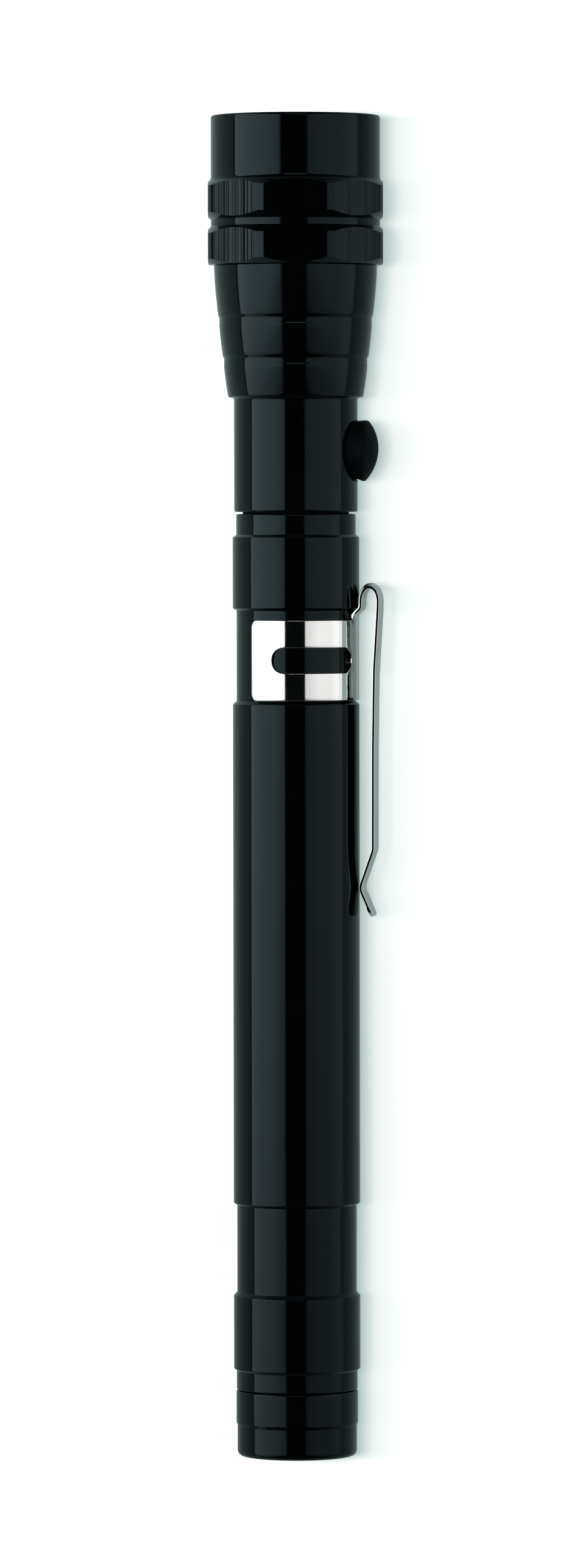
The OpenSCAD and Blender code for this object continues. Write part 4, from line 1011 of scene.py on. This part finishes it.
# Where the table starts to glow more, to stay white as the light falls off, and how much more at its ends
FAR_START, FAR_GLOW = 0.06, 1.5
# Dark room round the table and its lights, which only the gloss shows
ROOM_LOW, ROOM_HIGH = (-0.8, -1.5, -0.3), (0.8, 1.5, 2.4)
ROOM_TONE = (0.0028, 0.0033, 0.0036, 1)
# Faint light at the room's ends: where it begins and is full along the room, the height where it has
# faded, and how many times the room's tone it adds
FAINT_START, FAINT_TOP, FAINT_LIGHT = (0.5, 0.8), 1.1, 80
# Camera: height over the axis and distance towards the head, height of the frame at the axis, the point
# of the axis that it looks at, and its roll
CAMERA_H, CAMERA_AHEAD, FRAME_H = 1.11, 0.032, 0.1989
AIM_X, AIM_Y, CAMERA_ROLL = -0.00024, 0.00036, math.radians(-0.09)


def panel(name, width, length, brightness):
    """Flat area light that the camera doesn't see."""
    lamp = bpy.data.lights.new(name, "AREA")
    lamp.shape = "RECTANGLE"
    lamp.size = width
    lamp.size_y = length
    lamp.energy = brightness * math.pi * width * length
    light = bpy.data.objects.new(name, lamp)
    light.visible_camera = False
    scene.collection.objects.link(light)
    return light


def graded(tree, source, stops):
    """Grey ramp over a value, from stops (value, level)."""
    level = add(tree, "ShaderNodeValToRGB", {"Fac": source})
    ramp = level.color_ramp
    while len(ramp.elements) < len(stops):
        ramp.elements.new(0.5)
    for stop, (where, share) in zip(ramp.elements, stops):
        stop.position = where
        stop.color = (share, share, share, 1)
    return level


def light_wall(name, side, foot, top, brightness, fall):
    """Upright light beside the flashlight, for its gloss alone."""
    wall = panel(name, top - foot, WALL_ENDS[1] - WALL_ENDS[0], brightness)
    wall.location = (side * WALL_X, sum(WALL_ENDS) / 2, (foot + top) / 2)
    wall.rotation_euler = (0, -TAU / 4, TAU / 2 if side > 0 else 0)
    wall.visible_diffuse = False
    wall.data.use_nodes = True
    tree = wall.data.node_tree
    spot = add(tree, "ShaderNodeNewGeometry").outputs["Parametric"]
    place = add(tree, "ShaderNodeSeparateXYZ", {"Vector": spot}).outputs
    along = TAIL_FALL if side < 0 else [(1 - where, share) for where, share in TAIL_FALL[::-1]]
    level = add(tree, "ShaderNodeVectorMath", {
        0: graded(tree, place["X"], fall),
        1: graded(tree, place["Y"], along),
    }, operation="MULTIPLY")
    feed(tree, tree.nodes["Emission"], {"Color": level})


def overhead_light(name, near, far, share):
    """Light over the flashlight, for matt surfaces alone."""
    edges = [-OVERHEAD_Z * math.tan(math.radians(angle)) for angle in (near, far)]
    spread = math.sin(math.radians(far)) - math.sin(math.radians(near))
    half, z = OVERHEAD_LENGTH / 2, OVERHEAD_Z
    reach = half * z / (half ** 2 + z ** 2) + math.atan(half / z)
    lamp = panel(name, edges[0] - edges[1], OVERHEAD_LENGTH, share * MATT_LIGHT / (reach * spread))
    lamp.location = (sum(edges) / 2, OVERHEAD_Y, OVERHEAD_Z)
    lamp.visible_glossy = False


def staged(name, points, faces):
    """Mesh that is part of the stage, with an empty node material, and that material's tree."""
    mesh = bpy.data.meshes.new(name)
    mesh.from_pydata(points, [], faces)
    thing = bpy.data.objects.new(name, mesh)
    scene.collection.objects.link(thing)
    material = bpy.data.materials.new(name)
    material.use_nodes = True
    material.node_tree.nodes.clear()
    mesh.materials.append(material)
    return thing, material.node_tree


def pale_rays(tree, gloss=1.0):
    """Kinds of ray, and how far each shows the pale background. The gloss may show only a share of it."""
    ray = add(tree, "ShaderNodeLightPath").outputs
    sight = add(tree, "ShaderNodeMath", {0: ray["Is Glossy Ray"], 1: gloss, 2: ray["Is Camera Ray"]},
                operation="MULTIPLY_ADD", use_clamp=True)
    return ray, add(tree, "ShaderNodeMath", {0: sight, 1: ray["Is Transmission Ray"]},
                    operation="ADD", use_clamp=True)


def make_lights():
    """Light walls, overhead lights and the small lamp ahead."""
    for wall in LIGHT_WALLS:
        light_wall(*wall)
    for lamp in OVERHEAD_LIGHTS:
        overhead_light(*lamp)
    ahead = panel("ahead_light", *AHEAD_SIZE, AHEAD_LIGHT)
    ahead.location = (0, AHEAD_Y, AHEAD_Z)
    ahead.rotation_euler = (-math.atan2(AHEAD_Y, AHEAD_Z), 0, 0)
    ahead.visible_diffuse = False


def make_table():
    """Table top, which glows in white for the camera, takes the flashlight's shadow and has painted shade
    in its reflection.
    """
    _, tree = staged("table_top", [
        (TABLE_LEFT, -TABLE_END, 0), (TABLE_RIGHT, -TABLE_END, 0), (TABLE_RIGHT, TABLE_END, 0),
        (TABLE_LEFT, TABLE_END, 0),
    ], [(0, 1, 2, 3)])
    spot, place = placed(tree)
    # Painted shade in the table's reflection: the gloss shows only a share of the glow, for the
    # flashlight's shadow on the right and darkening towards the tail on the left
    left = ranged(tree, place["Y"], PAINTED_GLOSS_SHADE_FADE, PAINTED_GLOSS_SHADE_LEFT)
    ray, seen = pale_rays(tree, ranged(tree, place["X"], (-PAINTED_GLOSS_SHADE_TURN, PAINTED_GLOSS_SHADE_TURN), (left, PAINTED_GLOSS_SHADE_RIGHT)))
    reach = add(tree, "ShaderNodeVectorMath", {"Vector": spot}, operation="LENGTH")
    far = ranged(tree, reach.outputs["Value"], (FAR_START, TABLE_END), (0, FAR_GLOW))
    level = add(tree, "ShaderNodeMath", {0: ray["Is Camera Ray"], 1: far, 2: seen},
                operation="MULTIPLY_ADD")
    glow = add(tree, "ShaderNodeEmission", {"Color": TABLE_GLOW, "Strength": level})
    # The tone in the gloss paints the table darker in its reflection than by light
    tone = add(tree, "ShaderNodeMix", {0: ray["Is Glossy Ray"], 6: TABLE_TONE, 7: TABLE_PAINTED_GLOSS_TONE},
               data_type="RGBA")
    matt = add(tree, "ShaderNodeBsdfDiffuse", {"Color": tone.outputs[2]})
    both = add(tree, "ShaderNodeAddShader", {0: matt, 1: glow})
    add(tree, "ShaderNodeOutputMaterial", {"Surface": both})


def make_room():
    """Dark room round everything, with a faint light at its ends."""
    room, tree = staged("dark_room", list(product(*zip(ROOM_LOW, ROOM_HIGH))), [
        (0, 1, 3, 2), (4, 6, 7, 5), (0, 4, 5, 1), (2, 3, 7, 6), (0, 2, 6, 4), (1, 5, 7, 3),
    ])
    _, place = placed(tree)
    away = add(tree, "ShaderNodeMath", {0: place["Y"]}, operation="ABSOLUTE")
    ends = ranged(tree, away, FAINT_START, (0, FAINT_LIGHT))
    low = ranged(tree, place["Z"], (0, FAINT_TOP), (1, 0))
    faint = add(tree, "ShaderNodeMath", {0: ends, 1: low, 2: 1.0}, operation="MULTIPLY_ADD")
    dim = add(tree, "ShaderNodeEmission", {"Color": ROOM_TONE, "Strength": faint})
    add(tree, "ShaderNodeOutputMaterial", {"Surface": dim})
    room.visible_camera = False
    room.visible_diffuse = False
    room.visible_transmission = False
    room.visible_shadow = False


def make_background():
    """White world behind the table, which lights nothing."""
    world = bpy.data.worlds.new("white_background")
    world.use_nodes = True
    tree = world.node_tree
    tree.nodes.clear()
    _, seen = pale_rays(tree)
    white = add(tree, "ShaderNodeBackground", {"Color": (1, 1, 1, 1), "Strength": seen})
    add(tree, "ShaderNodeOutputWorld", {"Surface": white})
    scene.world = world


def make_camera():
    """Camera over the flashlight, a little ahead of its middle."""
    lens = bpy.data.cameras.new("camera")
    lens.sensor_width = 36
    lens.lens = lens.sensor_width * math.hypot(CAMERA_H, CAMERA_AHEAD) / FRAME_H
    camera = bpy.data.objects.new("camera", lens)
    camera.location = (AIM_X, AIM_Y + CAMERA_AHEAD, AXIS_Z + CAMERA_H)
    camera.rotation_euler = (-math.atan2(CAMERA_AHEAD, CAMERA_H), 0, CAMERA_ROLL)
    scene.collection.objects.link(camera)
    scene.camera = camera
    scene.view_settings.view_transform = "Standard"


make_lights()
make_table()
make_room()
make_background()
make_camera()
